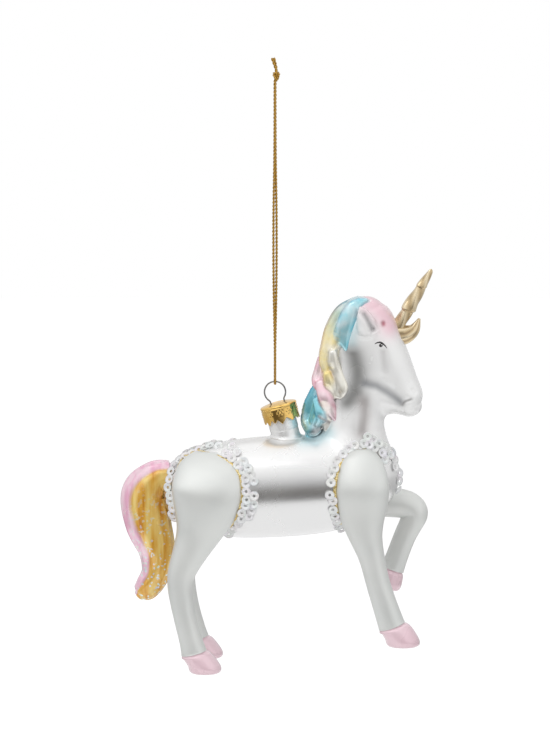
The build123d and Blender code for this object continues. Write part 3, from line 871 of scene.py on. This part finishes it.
# %% Mane finish
mane_finish, tree, shader = finish_of("pastel_gloss", Metallic=0.4, Coat_Weight=1.0, Coat_Roughness=0.05)
veil = spread(tree, add_lacquer(tree, shader, 160.0, (0.12, 0.28)), 0.42, 0.72, 0.0, 0.7)
tint = put(tree, "Attribute", attribute_name="paint").outputs["Color"]
feed(tree, shader, {"Base Color": mixed(tree, veil, tint, (0.93, 0.93, 0.92, 1))})
dress("pastel_mane", mane_mesh, "unicorn", mane_finish, "silvered_glass")

# %% [markdown]
# The eye is painted by hand: a black pupil, a curved lash line over it and one white dot.
# Paint is very thin, so each stroke is a small flat bead that is laid on the skin point by point.

# %% Painted eyes
LASH = [(31.3, -82.2, 0.1), (32.2, -81.75, 0.22), (33.3, -81.75, 0.26), (34.4, -82.6, 0.2),
        (35.2, -83.6, 0.08)]
DOME = [(1.0, -0.15), (0.9, 0.1), (0.6, 0.22), (0.2, 0.27)]


def stroke(points, side, flat=0.4):
    """Flat bead along x, z, radius places on the skin."""
    rows = flowing(points, 5)
    rings = []
    for i, (x, z, radius) in enumerate(rows):
        before, after = beside(rows, i)
        place, normal = from_side(x, z, side)
        along = Vector((after[0] - before[0], 0, after[1] - before[1])).normalized()
        across = normal.cross(along).normalized()
        rings.append(round_ring(place / MM, across, normal * flat, radius, circle(10)))
    return rings


def dot(x, z, radius, side, lift):
    """Low dome of paint on the skin."""
    place, normal = from_side(x, z, side)
    place = place / MM + normal * lift
    u = normal.cross(Vector((0, 0, 1))).normalized()
    v = normal.cross(u)
    angles = circle(20)
    return [round_ring(place + normal * rise * radius, u, v, radius * size, angles) for size, rise in DOME]


def two_tone(name, scale, rough, first, second, peel=(), **fixed):
    """Lacquered finish whose colour wanders between two tones."""
    material, tree, shader = finish_of(name, **fixed)
    mottle = add_lacquer(tree, shader, scale, rough, *peel)
    feed(tree, shader, {"Base Color": mixed(tree, mottle, first, second)})
    return material


black = two_tone("black_paint", 400.0, (0.25, 0.45), (0.006, 0.005, 0.005, 1), (0.02, 0.017, 0.016, 1),
                 Coat_Weight=0.6, Coat_Roughness=0.1)
white = two_tone("white_paint", 400.0, (0.25, 0.4), grey(0.86), grey(0.78), Coat_Weight=0.5)
dark, light = [], []
for side in (-1, 1):
    dark += [stroke(LASH, side), dot(33.25, -82.65, 0.62, side, 0.02)]
    light.append(dot(33.42, -82.42, 0.16, side, 0.2))
dress("painted_eyes", dark, "unicorn", black, "silvered_glass")
dress("eye_dots", light, "unicorn", white, "silvered_glass")

# %% [markdown]
# Each leg is blown by itself and glued on: a flat paddle on the body's side that narrows into
# a shin. Oval rings along the CAD stations give it. The paddle's inner half hides in the body.
# The table of legs also has the angles between which a seam shows round the paddle.

# %% Legs
HIND_LEG = [(-0.4, 10.4, 4.8, 1.7), (-0.4, 7.3, 9.6, 3.8), (-0.3, 0, 11.6, 4.9), (-1.6, -8, 9.9, 5.4),
            (-3.8, -15.2, 7, 4.9), (-6.8, -22, 5.3, 4.4), (-9.6, -30, 4.1, 3.9), (-8.1, -41, 3.6, 3.5),
            (-6, -49.5, 3.7, 3.6), (-5.1, -53.2, 4.1, 3.8)]
STANDING_LEG = [(0.1, 11.8, 2.7, 1.7), (0.1, 8.5, 6.6, 3.5), (0, 0, 8.8, 4.7), (0.3, -8, 7.7, 5),
                (1.4, -15.5, 5.4, 4.5), (3.4, -22.5, 4.1, 3.9), (5.3, -30.5, 3.8, 3.6), (8, -39, 4, 3.7),
                (9.9, -44.6, 4.3, 3.9)]
RAISED_LEG = [(0.5, 11.8, 2.5, 1.5), (0.3, 8.5, 6.4, 3), (0.6, 0, 8, 4.8), (4, -6, 6.4, 4.8),
              (10, -8.3, 5, 4.6), (15.5, -9.0, 4.6, 4.3), (18.3, -11.6, 4.4, 4.1), (17.2, -15.0, 3.9, 3.7),
              (15, -19.5, 3.6, 3.5), (12.4, -26.5, 3.6, 3.5), (11, -30.3, 3.9, 3.7)]
LEGS = {"hind_right": (HIND_LEG, HIP, -1, (-70, 222)), "hind_left": (HIND_LEG, HIP, 1, (-70, 222)),
        "front_right": (STANDING_LEG, SHOULDER, -1, (-50, 248)),
        "front_left": (RAISED_LEG, SHOULDER, 1, (8, 262))}
SHIN_TRACK = 10.5
CUFF_LIP = [(-0.25, 1.015), (-0.05, 0.97), (0.0, 0.86)]


def leg_rows(rows, start, side):
    """Stations of a leg; the paddle lies on the body's side, the rest keeps its track."""
    out = []
    for ahead, above, depth, width in rows:
        reach = side_at(start.x + ahead, start.z + above, side)
        if above < 0:
            reach = max(reach, SHIN_TRACK)
        out.append((start.x + ahead, side * reach, start.z + above, depth, width))
    return out


def eased(rows, turns):
    """Evens out the track and the half sizes along a leg; both ends stay."""
    rows = np.array(rows)
    for turn in range(turns):
        rows[1:-1] = (rows[:-2] + rows[1:-1] + rows[2:]) / 3
    return rows.tolist()


def cuffed(rows):
    """Adds a soft rolled lip at the lower end of a leg."""
    place, way = end_of(rows)
    depth, width = rows[-1][3:]
    return rows[:-1] + [(*(place + way * reach), depth * size, width * size) for reach, size in CUFF_LIP]


pearl = two_tone("pearl_lacquer", 70.0, (0.42, 0.5), srgb(214, 217, 215), srgb(228, 229, 226),
                 Metallic=0.42, Coat_Weight=0.35, Coat_Roughness=0.42)
leg_lines, leg_trees = {}, {}
for name, plan in LEGS.items():
    leg_lines[name] = leg_rows(*plan[:3])
    rings = oval_rings(cuffed(eased(flowing(leg_lines[name], 9), 8)), 44)
    leg = dress(name + "_pearl_leg", [rings], "unicorn", pearl, "pearl_glass", name + "_leg")
    leg_trees[name] = rays_on(leg.data)

# %% [markdown]
# The hooves are pale pink. A standing hoof turns flat to the ground and steps forward, the
# raised one stays in line with its shin, so each ring carries its own direction. The table has
# that direction (0 for the shin's, 2 for the sole's, 1 between), the ways along the shin and
# toward the sole, the share of the toe's step, and what is added to the cuff's half sizes.

# %% Hooves
TOE_STEP = 3.5
HOOF = [(0, -0.6, 0, 0, -0.7), (0, 0.12, 0, 0, -0.45), (0, 0.7, 0, 0.1, 0.1), (1, 1.6, 0, 0.32, 0.4),
        (2, 0, 4.0, 0.9, 0.8), (2, 0, 5.5, 1, 0.65), (2, 0, 6.1, 1, 0.25), (2, 0, 6.4, 1, -0.5),
        (2, 0, 6.45, 1, -1.6)]


def hoof_rings(line, toe, level):
    cuff, along = end_of(line)
    depth, width = line[-1][3:]
    along = Vector((along.x, 0, along.z)).normalized()
    down = Vector((0, 0, -1)) if level else along
    ahead = Vector((-down.z, 0, down.x))
    ways = (along, (along + down).normalized(), down)
    rows = []
    for turn, shin, sole, share, more in HOOF:
        place = cuff + along * shin + down * sole + ahead * share * toe
        rows.append((*place, ways[turn].x, ways[turn].z, depth + more + 0.1 * toe, width + more))
    rings = []
    for x, y, z, way_x, way_z, depth, width in flowing(rows, 5):
        across = Vector((-way_z, 0, way_x)).normalized() * depth
        rings.append(round_ring(Vector((x, y, z)), LEFT * width, across, 1.0, circle(44)))
    return rings


blush = two_tone("blush_lacquer", 110.0, (0.25, 0.38), srgb(238, 202, 213), srgb(248, 223, 230),
                 Metallic=0.1, Coat_Weight=0.8, Coat_Roughness=0.1)
for name, line in leg_lines.items():
    raised = name == "front_left"
    rings = hoof_rings(line, 0.0 if raised else TOE_STEP, not raised)
    dress(name + "_pink_hoof", [rings], "unicorn", blush, "pink_glass", name + "_hoof")

# %% [markdown]
# A paddle dips into the body along a seam. From the leg's start, each way round the paddle is
# walked in small steps until rays from the side meet the body before the leg. Rims for glue and
# sequins are this seam, pushed out by a lead.

# %% Seams
SEAM_STEPS = 72
SEAM_FROM, SEAM_TO, SEAM_STRIDE = 3.0, 19.0, 0.15


def seam_of(name):
    """Ways and reaches from a leg's start to the seam where its paddle dips into the body."""
    start, side, (low, high) = LEGS[name][1:]
    angles = [radians(low + (high - low) * k / SEAM_STEPS) for k in range(SEAM_STEPS + 1)]
    ways = [Vector((cos(angle), 0, sin(angle))) for angle in angles]
    reaches = []
    for way in ways:
        reach, proud = SEAM_FROM, True
        while proud and reach < SEAM_TO:
            reach += SEAM_STRIDE
            place = start + way * reach
            flank = side_at(place.x, place.z, side)
            proud = flank > 0 and side_at(place.x, place.z, side, leg_trees[name]) > flank
        reaches.append(reach)
    for turn in range(5):
        reaches[1:-1] = [sum(reaches[k - 1:k + 2]) / 3 for k in range(1, SEAM_STEPS)]
    return ways, reaches


def rim_of(name, lead, step):
    """Even points along a leg's seam, pushed out by a lead, in millimetres."""
    start = LEGS[name][1]
    line = [(start + way * (reach + lead)) * MM for way, reach in zip(*seams[name])]
    return [p / MM for p in evenly(line, step * MM)]


def on_skin(x, z, side, lift):
    """Nearest point of the body from outside its flank, and the normal there."""
    outside = Vector((x, side * (side_at(x, z, side) + 2.0), z))
    place, normal = body_tree.find_nearest(outside * MM)[:2]
    return place / MM + normal * lift, normal


seams = {name: seam_of(name) for name in LEGS}
for name, seam in seams.items():
    print(name, "seam", round(min(seam[1]), 1), "to", round(max(seam[1]), 1), "mm from the leg's start")

# %% [markdown]
# Glue, sequins and tail all glitter. One node group splits space into small cells, and puts out
# a mask of the chosen share of cells and a colour for each.

# %% Glitter group
def worked(tree, operation, *values):
    return put(tree, "Math", dict(enumerate(values)), operation=operation).outputs["Value"]


flake, entry, leave = group_of("glitter_flakes", {"Scale": 2200.0, "Share": 0.5},
                               {"Mask": "Float", "Hue": "Color"})
cells = put(flake, "TexVoronoi", {"Vector": spot_in(flake), "Scale": entry["Scale"]}).outputs["Color"]
red = put(flake, "SeparateColor", {"Color": cells}).outputs["Red"]
feed(flake, leave, {"Mask": worked(flake, "LESS_THAN", red, entry["Share"]), "Hue": cells})


def add_glitter(tree, scale, share):
    return put(tree, "Group", {"Scale": scale, "Share": share}, node_tree=flake).outputs


print("glitter group with", len(flake.nodes), "nodes")

# %% [markdown]
# A line of gold glitter glue covers each seam. It is a bead with an uneven radius.

# %% Glue lines
GLUE_LEAD, GLUE_STEP, GLUE_RADIUS = 0.1, 0.6, 0.42
glue, tree, shader = finish_of("gold_glitter_glue", Metallic=0.55, Coat_Weight=0.6, Coat_Roughness=0.15)
add_lacquer(tree, shader, 500.0, (0.2, 0.5), 0.5, 1500.0)
grain = add_glitter(tree, 2600.0, 0.45)
feed(tree, shader, {"Base Color": mixed(tree, grain["Mask"], srgb(202, 172, 96), srgb(240, 222, 164))})


def bead_rings(line, side):
    rings = []
    places = [on_skin(p.x, p.z, side, 0.1) for p in line]
    for i, (place, normal) in enumerate(places):
        before, after = beside(places, i)
        across = normal.cross((after[0] - before[0]).normalized()).normalized()
        size = GLUE_RADIUS * (1 + 0.35 * noise.noise(place * 0.9))
        rings.append(round_ring(place, across * 1.3, normal * 0.8, size, circle(9)))
    return rings


beads = {name: bead_rings(rim_of(name, GLUE_LEAD, GLUE_STEP), LEGS[name][2]) for name in LEGS}
print("rings in the glue lines", [len(rings) for rings in beads.values()])

# %% [markdown]
# Cupped sequins are stuck along the glue, in one long row and a short second one outside it.
# Seeded places, tilts and turns keep them from looking printed. Glue and sequins of a leg are
# dressed together.

# %% Sequins
SECTION = [(0.45, 0.0), (0.8, 0.02), (1.1, 0.12), (1.5, 0.3), (1.5, 0.36), (1.1, 0.19), (0.8, 0.09),
           (0.45, 0.07), (0.45, 0.0)]
JITTER, LEAN, MISSING = 0.5, 0.24, 0.04
film, tree, shader = finish_of("pearl_film", Metallic=0.06, Coat_Weight=0.7, Coat_Roughness=0.08)
add_lacquer(tree, shader, 700.0, (0.12, 0.26))
hue = add_glitter(tree, 420.0, 0.5)["Hue"]
feed(tree, shader, {"Base Color": mixed(tree, 0.05, (0.92, 0.92, 0.93, 1), hue)})


def sequin_rings(place, normal, spin):
    """Cupped disc with a hole: a closed thin ring section."""
    u = normal.orthogonal().normalized()
    v = normal.cross(u)
    angles = [angle + spin for angle in circle(22)]
    return [round_ring(place + normal * rise, u, v, radius, angles) for radius, rise in SECTION]


def sequin_row(name, lead, step, part, seed):
    """Discs along a part of a leg's seam."""
    side, chance = LEGS[name][2], random.Random(seed)
    path = rim_of(name, lead, step)
    path = path[int(part[0] * len(path)):int(part[1] * len(path))]
    discs = []
    for number, p in enumerate(path):
        x = p.x + chance.uniform(-JITTER, JITTER)
        z = p.z + chance.uniform(-JITTER, JITTER)
        place, normal = on_skin(x, z, side, 0.3 + 0.14 * (number % 2))
        tilt = [chance.uniform(-1, 1) for axis in range(3)]
        lean = (Vector(tilt) + LEFT * 2.4 * side) * LEAN
        disc = sequin_rings(place, (normal + lean).normalized(), chance.uniform(0, pi))
        if chance.random() > MISSING:
            discs.append(disc)
    return discs


for number, name in enumerate(LEGS):
    dress(name + "_glue_line", [beads[name]], "unicorn", glue, "pearl_glass")
    first = 0.3 if name == "front_right" else 0.02
    discs = sequin_row(name, 1.6, 2.4, (first, 1.0), 10 + number)
    discs += sequin_row(name, 3.7, 2.5, (0.14, 0.46), 20 + number)
    print(name, len(discs), "sequins")
    dress(name + "_cupped_sequins", skin_of(name + "_cupped_sequins", discs, ends=False), "unicorn", film,
          "sequin", name + "_sequins")

# %% [markdown]
# The tail is one blown form with combed strands. A wave round each ring cuts the strands, and
# an attribute keeps how far across and along the tail a point lies, for the finish.

# %% Tail shape
TAIL = [(2.6, 5.4, 4.8, 3.6), (-2.4, 4.3, 6, 4.4), (-6.4, -0.7, 7.3, 5), (-5, -9.7, 7.5, 4.9),
        (-2.2, -18.6, 6, 4.3), (-2.4, -25.6, 4.8, 3.5), (-4.8, -30.2, 4.3, 3), (-6.9, -32.6, 3.4, 2.2),
        (-7.8, -33.5, 1.9, 1.3)]
AROUND_TAIL = 96


def combed(v, angle):
    sweep = angle + 0.5 * sin(5 * v)
    return 1 - 0.035 * (0.5 + 0.5 * cos(11 * sweep)) - 0.05 * exp(-((sin(angle) + 0.45) / 0.12) ** 2)


tail_rings = oval_rings(rounded_end(flowing(at(RUMP, TAIL), 14), 0.9), AROUND_TAIL, combed)
tail_mesh = skin_of("combed_tail", [tail_rings])
lay = []
for i in range(len(tail_rings)):
    lay += [(0.5 + 0.5 * sin(angle), i / (len(tail_rings) - 1), 0, 1) for angle in circle(AROUND_TAIL)]
lay += [(0.5, 0, 0, 1), (0.5, 1, 0, 1)]
colour_layer(tail_mesh, "lay", lay)
print("tail of", len(tail_rings), "rings")

# %% [markdown]
# A pink band runs down the tail's outer side and the rest is gold, both streaked lengthwise.
# Coarse glitter is strewn on the lower part.

# %% Tail finish
tail_finish, tree, shader = finish_of("pink_gold_gloss", Coat_Weight=1.0, Coat_Roughness=0.06)
mottle = add_lacquer(tree, shader, 120.0, (0.14, 0.3))
lay = put(tree, "Attribute", attribute_name="lay").outputs["Color"]
lay = put(tree, "SeparateColor", {"Color": lay}).outputs
edge = worked(tree, "ADD", lay["Red"], worked(tree, "MULTIPLY_ADD", mottle, 0.12, -0.06))
along = put(tree, "Mapping", {"Vector": spot_in(tree), "Scale": (500, 500, 60)}).outputs[0]
streak = put(tree, "TexNoise", {"Vector": along, "Scale": 1.0, "Detail": 3.0}).outputs["Fac"]
gold = ramp(tree, streak, (0.28, srgb(206, 130, 30)), (0.42, srgb(234, 174, 62)), (0.64, srgb(250, 218, 128)))
pink = ramp(tree, streak, (0.32, srgb(242, 180, 207)), (0.58, srgb(252, 218, 231)))
base = mixed(tree, spread(tree, edge, 0.2, 0.27), pink, gold)
grain = add_glitter(tree, 1500.0, 0.12)
shown = worked(tree, "MULTIPLY", grain["Mask"], spread(tree, lay["Green"], 0.15, 0.6))
spark = mixed(tree, 0.8, grain["Hue"], (1.0, 0.99, 0.94, 1))
feed(tree, shader, {"Base Color": mixed(tree, shown, base, spark),
                    "Metallic": spread(tree, shown, 0.0, 1.0, 0.15, 0.25)})
dress("combed_tail", tail_mesh, "unicorn", tail_finish, "tail_glass", "tail")

# %% [markdown]
# The horn is a rod of hot glass twisted while it was drawn. It has three segments, each starting
# wide over the one below: share of the length, radius at the start, radius at the end. A curl
# of gold with a ripple runs round its foot. An attribute keeps how high each point stands.

# %% Horn shape
HORN_RISE = radians(60)
HORN_LENGTH = 19.5
HORN_WAY = Vector((cos(HORN_RISE), 0, sin(HORN_RISE)))
HORN_OUT = Vector((-HORN_WAY.z, 0, HORN_WAY.x))
HORN_JOINTS = [(-0.12, 2.0, 1.9), (0.23, 2.45, 1.5), (0.67, 1.75, 0.62), (1.0, 0.5, 0.5)]
HORN_STEPS, AROUND_CURL = 130, 60
CURL = [(-3.0, -4.0, 2.7, 2.2), (-0.8, -4.1, 3.2, 2.5), (1.9, -3.8, 2.9, 2.3), (4.4, -2.2, 1.9, 1.5),
        (5.9, 0.9, 0.5, 0.4)]


def horn_radius(part):
    """Radius at a share of the horn's length, and how far over a segment's lip it is."""
    for (low, wide, narrow), above in zip(HORN_JOINTS, HORN_JOINTS[1:]):
        if low <= part < above[0]:
            t = (part - low) / (above[0] - low)
            lip = min(t / 0.09, 1.0)
            return (wide + (narrow - wide) * t) * (0.84 + 0.16 * lip * (2 - lip)), lip
    return HORN_JOINTS[-1][1], 1.0


def ripple(v, angle):
    return cos(7 * angle + 3 * v)


rings, heights = [], []
for step in range(HORN_STEPS + 1):
    part = step / HORN_STEPS * 1.12 - 0.12
    middle = HORN_FOOT + HORN_WAY * HORN_LENGTH * part
    tip = min(max((1.0 - part) / 0.05, 0.0), 1.0)
    ring = []
    for angle in circle(48):
        radius, lip = horn_radius(min(part + 0.035 * cos(angle + 0.8), 0.9999))
        turn = cos(3 * (angle - 2 * pi * 0.9 * part))
        heights.append(lip * (0.6 + 0.4 * turn))
        radius *= (1 + 0.07 * turn) * sqrt(tip * (2 - tip))
        ring.append(middle + (HORN_OUT * cos(angle) + LEFT * sin(angle)) * radius)
    rings.append(ring)
heights += [0.5, 0.8]
curl_rows = rounded_end(flowing(at(HORN_FOOT, CURL), 14), 0.4)
curl = oval_rings(curl_rows, AROUND_CURL, lambda v, angle: 1 + 0.05 * ripple(v, angle))
for i in range(len(curl)):
    heights += [0.5 + 0.5 * ripple(i / (len(curl) - 1), angle) for angle in circle(AROUND_CURL)]
heights += [0.5, 0.5]
horn_mesh = skin_of("twisted_horn", [rings, curl])
colour_layer(horn_mesh, "height", [grey(height) for height in heights])
print("horn of", len(rings), "rings")

# %% [markdown]
# The gold is pale on the ridges, as a painted highlight, and dark in the grooves and at the joints
# between segments, as painted shade.

# %% Horn finish
relief_lit_gold, tree, shader = finish_of("gold_with_painted_relief_light", Metallic=0.75, Coat_Weight=0.9, Coat_Roughness=0.08)
mottle = add_lacquer(tree, shader, 220.0, (0.16, 0.3))
height = put(tree, "Attribute", attribute_name="height").outputs["Color"]
# low heights get the painted shade, high ones the painted highlight
gold = ramp(tree, height, (0.0, srgb(112, 82, 46)), (0.35, srgb(190, 166, 122)), (1.0, srgb(236, 222, 192)))
feed(tree, shader, {"Base Color": mixed(tree, mottle, gold, srgb(208, 186, 146))})
dress("twisted_horn", horn_mesh, "unicorn", relief_lit_gold, "gold_horn", "horn")

# %% [markdown]
# The cap is thin stamped brass: a low dome, a ring of beaded flowers on the skirt and a toothed,
# slightly crumpled lower edge. The lathe spins its profile and a shape function adds the stamp.
# A boolean box cuts the slot that the wire goes through.

# %% Stamped cap
TEETH, FLOWERS, FLOWER_HEIGHT, PETAL_REACH = 13, 11, -3.0, 0.85
OUTER = [(0.02, 0.0), (1.2, -0.03), (2.6, -0.15), (3.6, -0.3), (4.4, -0.45), (5.0, -0.6), (5.4, -0.7),
         (5.75, -0.9), (5.88, -1.2), (5.8, -1.6), (5.72, -1.9), (5.72, -2.4), (5.73, -3.0), (5.74, -3.6),
         (5.75, -4.2), (5.76, -4.8), (5.78, -5.3), (5.8, -5.7)]
SLOT_CORNERS = ((-2.9, -0.45), (2.9, -0.45), (2.9, 0.45), (-2.9, 0.45))


def stamped(radius, height, angle):
    """Skirt with beaded flowers, pointed teeth at its lower edge and a little crumple."""
    down = min(max((-height - 1.3) / 4.5, 0.0), 1.0)
    petal = abs((angle * TEETH / (2 * pi) + 0.2 * sin(3 * angle)) % 1 - 0.5) * 2
    h = height - down ** 3 * (1.5 * petal - 0.8 + 0.3 * sin(7 * angle))
    across = ((angle * FLOWERS / (2 * pi) + 0.25) % 1 - 0.5) * 3.27
    over = h - FLOWER_HEIGHT
    beads = 1.3 * exp(-(across ** 2 + over ** 2) / 0.09)
    for way in circle(6):
        gap = (across - PETAL_REACH * cos(way)) ** 2 + (over - PETAL_REACH * sin(way)) ** 2
        beads += exp(-gap / 0.04)
    crumple = 0.07 * noise.noise(Vector((cos(angle) * 2.2, sin(angle) * 2.2, height * 0.5))) * down
    return radius + 0.17 * beads + crumple - 0.08 * down ** 2 * (1 - petal), h


inner = [(max(r - 0.3, 0.02), h - (0.3 if r < 5.3 else 0.06)) for r, h in OUTER[:0:-1]]
profile = flowing(OUTER, 3) + flowing(inner, 2)
slot_rings = [[on_stub(hypot(x, y), atan2(y, x), h) for x, y in SLOT_CORNERS] for h in (-2.0, 2.0)]
cutter = new_object("slot_cut", skin_of("slot_cut", [slot_rings], smooth=False))
cap_mesh = baked("stamped_cap", skin_of("stamped_cap", [lathe(profile, 288, stamped)]),
                 ("BOOLEAN", {"object": cutter, "operation": "DIFFERENCE", "solver": "EXACT"}))
bpy.data.objects.remove(cutter)
brass = two_tone("bright_brass", 260.0, (0.06, 0.2), srgb(226, 172, 76), srgb(250, 216, 138),
                 peel=(0.1, 1400.0), Metallic=1.0)
dress("stamped_cap", cap_mesh, "cap", brass, "gold_cap", "ornament_cap")

# %% [markdown]
# The wire ring is exactly the CAD shape: round spring wire bent in one piece. It stays, and
# only gets a finish of drawn steel with faint marks.

# %% Drawn wire
steel, tree, shader = finish_of("drawn_steel", Metallic=1.0)
marks = speckle(tree, 2400.0, 3.0)
feed(tree, shader, {"Base Color": ramp(tree, marks, (0.3, grey(0.16)), (0.7, grey(0.34))),
                    "Roughness": spread(tree, marks, 0.0, 1.0, 0.25, 0.5)})
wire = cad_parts["wire_hanger"]
wire.data.materials.clear()
wire.data.materials.append(steel)
print("wire in", steel.name)

# %% [markdown]
# The ornament hangs over a plain pale floor before white. The floor shows white to the camera
# and in reflections but still takes a shadow.

# %% Floor
FLOOR_HALF, FLOOR_HEIGHT = 3, -0.29


def see_background(tree):
    """1 where a ray comes from the camera, a reflection or through glass."""
    path = put(tree, "LightPath").outputs
    first = worked(tree, "MAXIMUM", path["Is Camera Ray"], path["Is Glossy Ray"])
    return worked(tree, "MAXIMUM", first, path["Is Transmission Ray"])


def plate(name, paint, points, faces):
    """Stage piece with an empty material; gives back the piece and the material's tree."""
    mesh = bpy.data.meshes.new(name)
    mesh.from_pydata(points, [], faces)
    item = new_object(name, mesh)
    material = bpy.data.materials.new(paint)
    material.use_nodes = True
    material.node_tree.nodes.clear()
    mesh.materials.append(material)
    return item, material.node_tree


corners = [(x * FLOOR_HALF, y * FLOOR_HALF, FLOOR_HEIGHT) for x, y in ((-1, -1), (1, -1), (1, 1), (-1, 1))]
tree = plate("floor", "pale_floor", corners, [(0, 1, 2, 3)])[1]
plain = put(tree, "BsdfDiffuse", {"Color": grey(0.8)}).outputs[0]
dim = put(tree, "BsdfDiffuse", {"Color": grey(0.25)}).outputs[0]
glow = put(tree, "Emission", {"Color": grey(1.0), "Strength": 0.93}).outputs[0]
seen = put(tree, "AddShader", {0: dim, 1: glow}).outputs[0]
both = put(tree, "MixShader", {0: see_background(tree), 1: plain, 2: seen}).outputs[0]
put(tree, "OutputMaterial", {"Surface": both})
print("floor at", FLOOR_HEIGHT)

# %% [markdown]
# Round silver needs something to mirror: a ring of pale card stands round it out of the camera's
# sight, as in a light tent, with a darker part low in front. That part makes the band along the
# trunk and the deep middle of the brass cap.

# %% Reflection card
CARD_SIDES, CARD_RADIUS, CARD_LOW, CARD_HIGH = 96, 0.32, -0.285, 0.3
points, faces = [], []
for z in (CARD_LOW, CARD_HIGH):
    points += [(CARD_RADIUS * cos(angle), CARD_RADIUS * sin(angle), z) for angle in circle(CARD_SIDES)]
for k in range(CARD_SIDES):
    after = (k + 1) % CARD_SIDES
    faces.append((k, after, CARD_SIDES + after, CARD_SIDES + k))
card, tree = plate("reflection_card", "graded_card", points, faces)
card.visible_camera = False
card.visible_diffuse = False
card.visible_shadow = False
card.visible_transmission = False
spot = put(tree, "SeparateXYZ", {"Vector": spot_in(tree)}).outputs
level = spread(tree, spot["Z"], CARD_LOW, CARD_HIGH)
dark = ramp(tree, level, (0.0, grey(0.13)), (0.17, (0.11, 0.10, 0.09, 1)), (0.26, (0.19, 0.18, 0.17, 1)),
            (0.34, grey(0.43)), (0.45, grey(0.68)), (0.6, grey(0.87)), (0.8, grey(1.0)))
light = ramp(tree, level, (0.0, grey(0.5)), (0.25, grey(0.72)), (0.4, grey(0.97)))
aside = worked(tree, "ABSOLUTE", worked(tree, "SUBTRACT", spot["X"], -0.05))
bright = worked(tree, "MAXIMUM", spread(tree, aside, 0.17, 0.22), spread(tree, spot["Y"], -0.1, 0.0))
power = spread(tree, spot["Y"], -CARD_RADIUS, CARD_RADIUS, 1.06, 0.88)
glow = put(tree, "Emission", {"Color": mixed(tree, bright, dark, light), "Strength": power}).outputs[0]
put(tree, "OutputMaterial", {"Surface": glow})
print("card of", len(faces), "faces")

# %% [markdown]
# A white world fills the shadows and shows full white behind. Four broad lamps give the plain
# soft light of a product picture: name, place, size and watts.

# %% World and lamps
LAMPS = [("key", (-0.38, -0.65, 0.42), 0.8, 4.2), ("fill", (0.6, -0.5, 0.1), 0.6, 1.3),
         ("top", (0.0, 0.1, 0.6), 1.0, 0.9), ("back", (0.3, 0.7, 0.35), 0.6, 1.6)]
world = bpy.data.worlds.new("white_tent")
bpy.context.scene.world = world
world.use_nodes = True
tree = world.node_tree
power = spread(tree, see_background(tree), 0.0, 1.0, 0.33, 1.0)
feed(tree, tree.nodes["Background"], {"Color": grey(1.0), "Strength": power})
for name, place, size, watts in LAMPS:
    lamp = bpy.data.lights.new(name, "AREA")
    lamp.size = size
    lamp.energy = watts
    item = new_object(name, lamp)
    item.location = place
    item.rotation_euler = (aim - Vector(place)).to_track_quat("-Z", "Y").to_euler()
bpy.context.scene.view_settings.view_transform = "Standard"
print(len(LAMPS), "lamps")
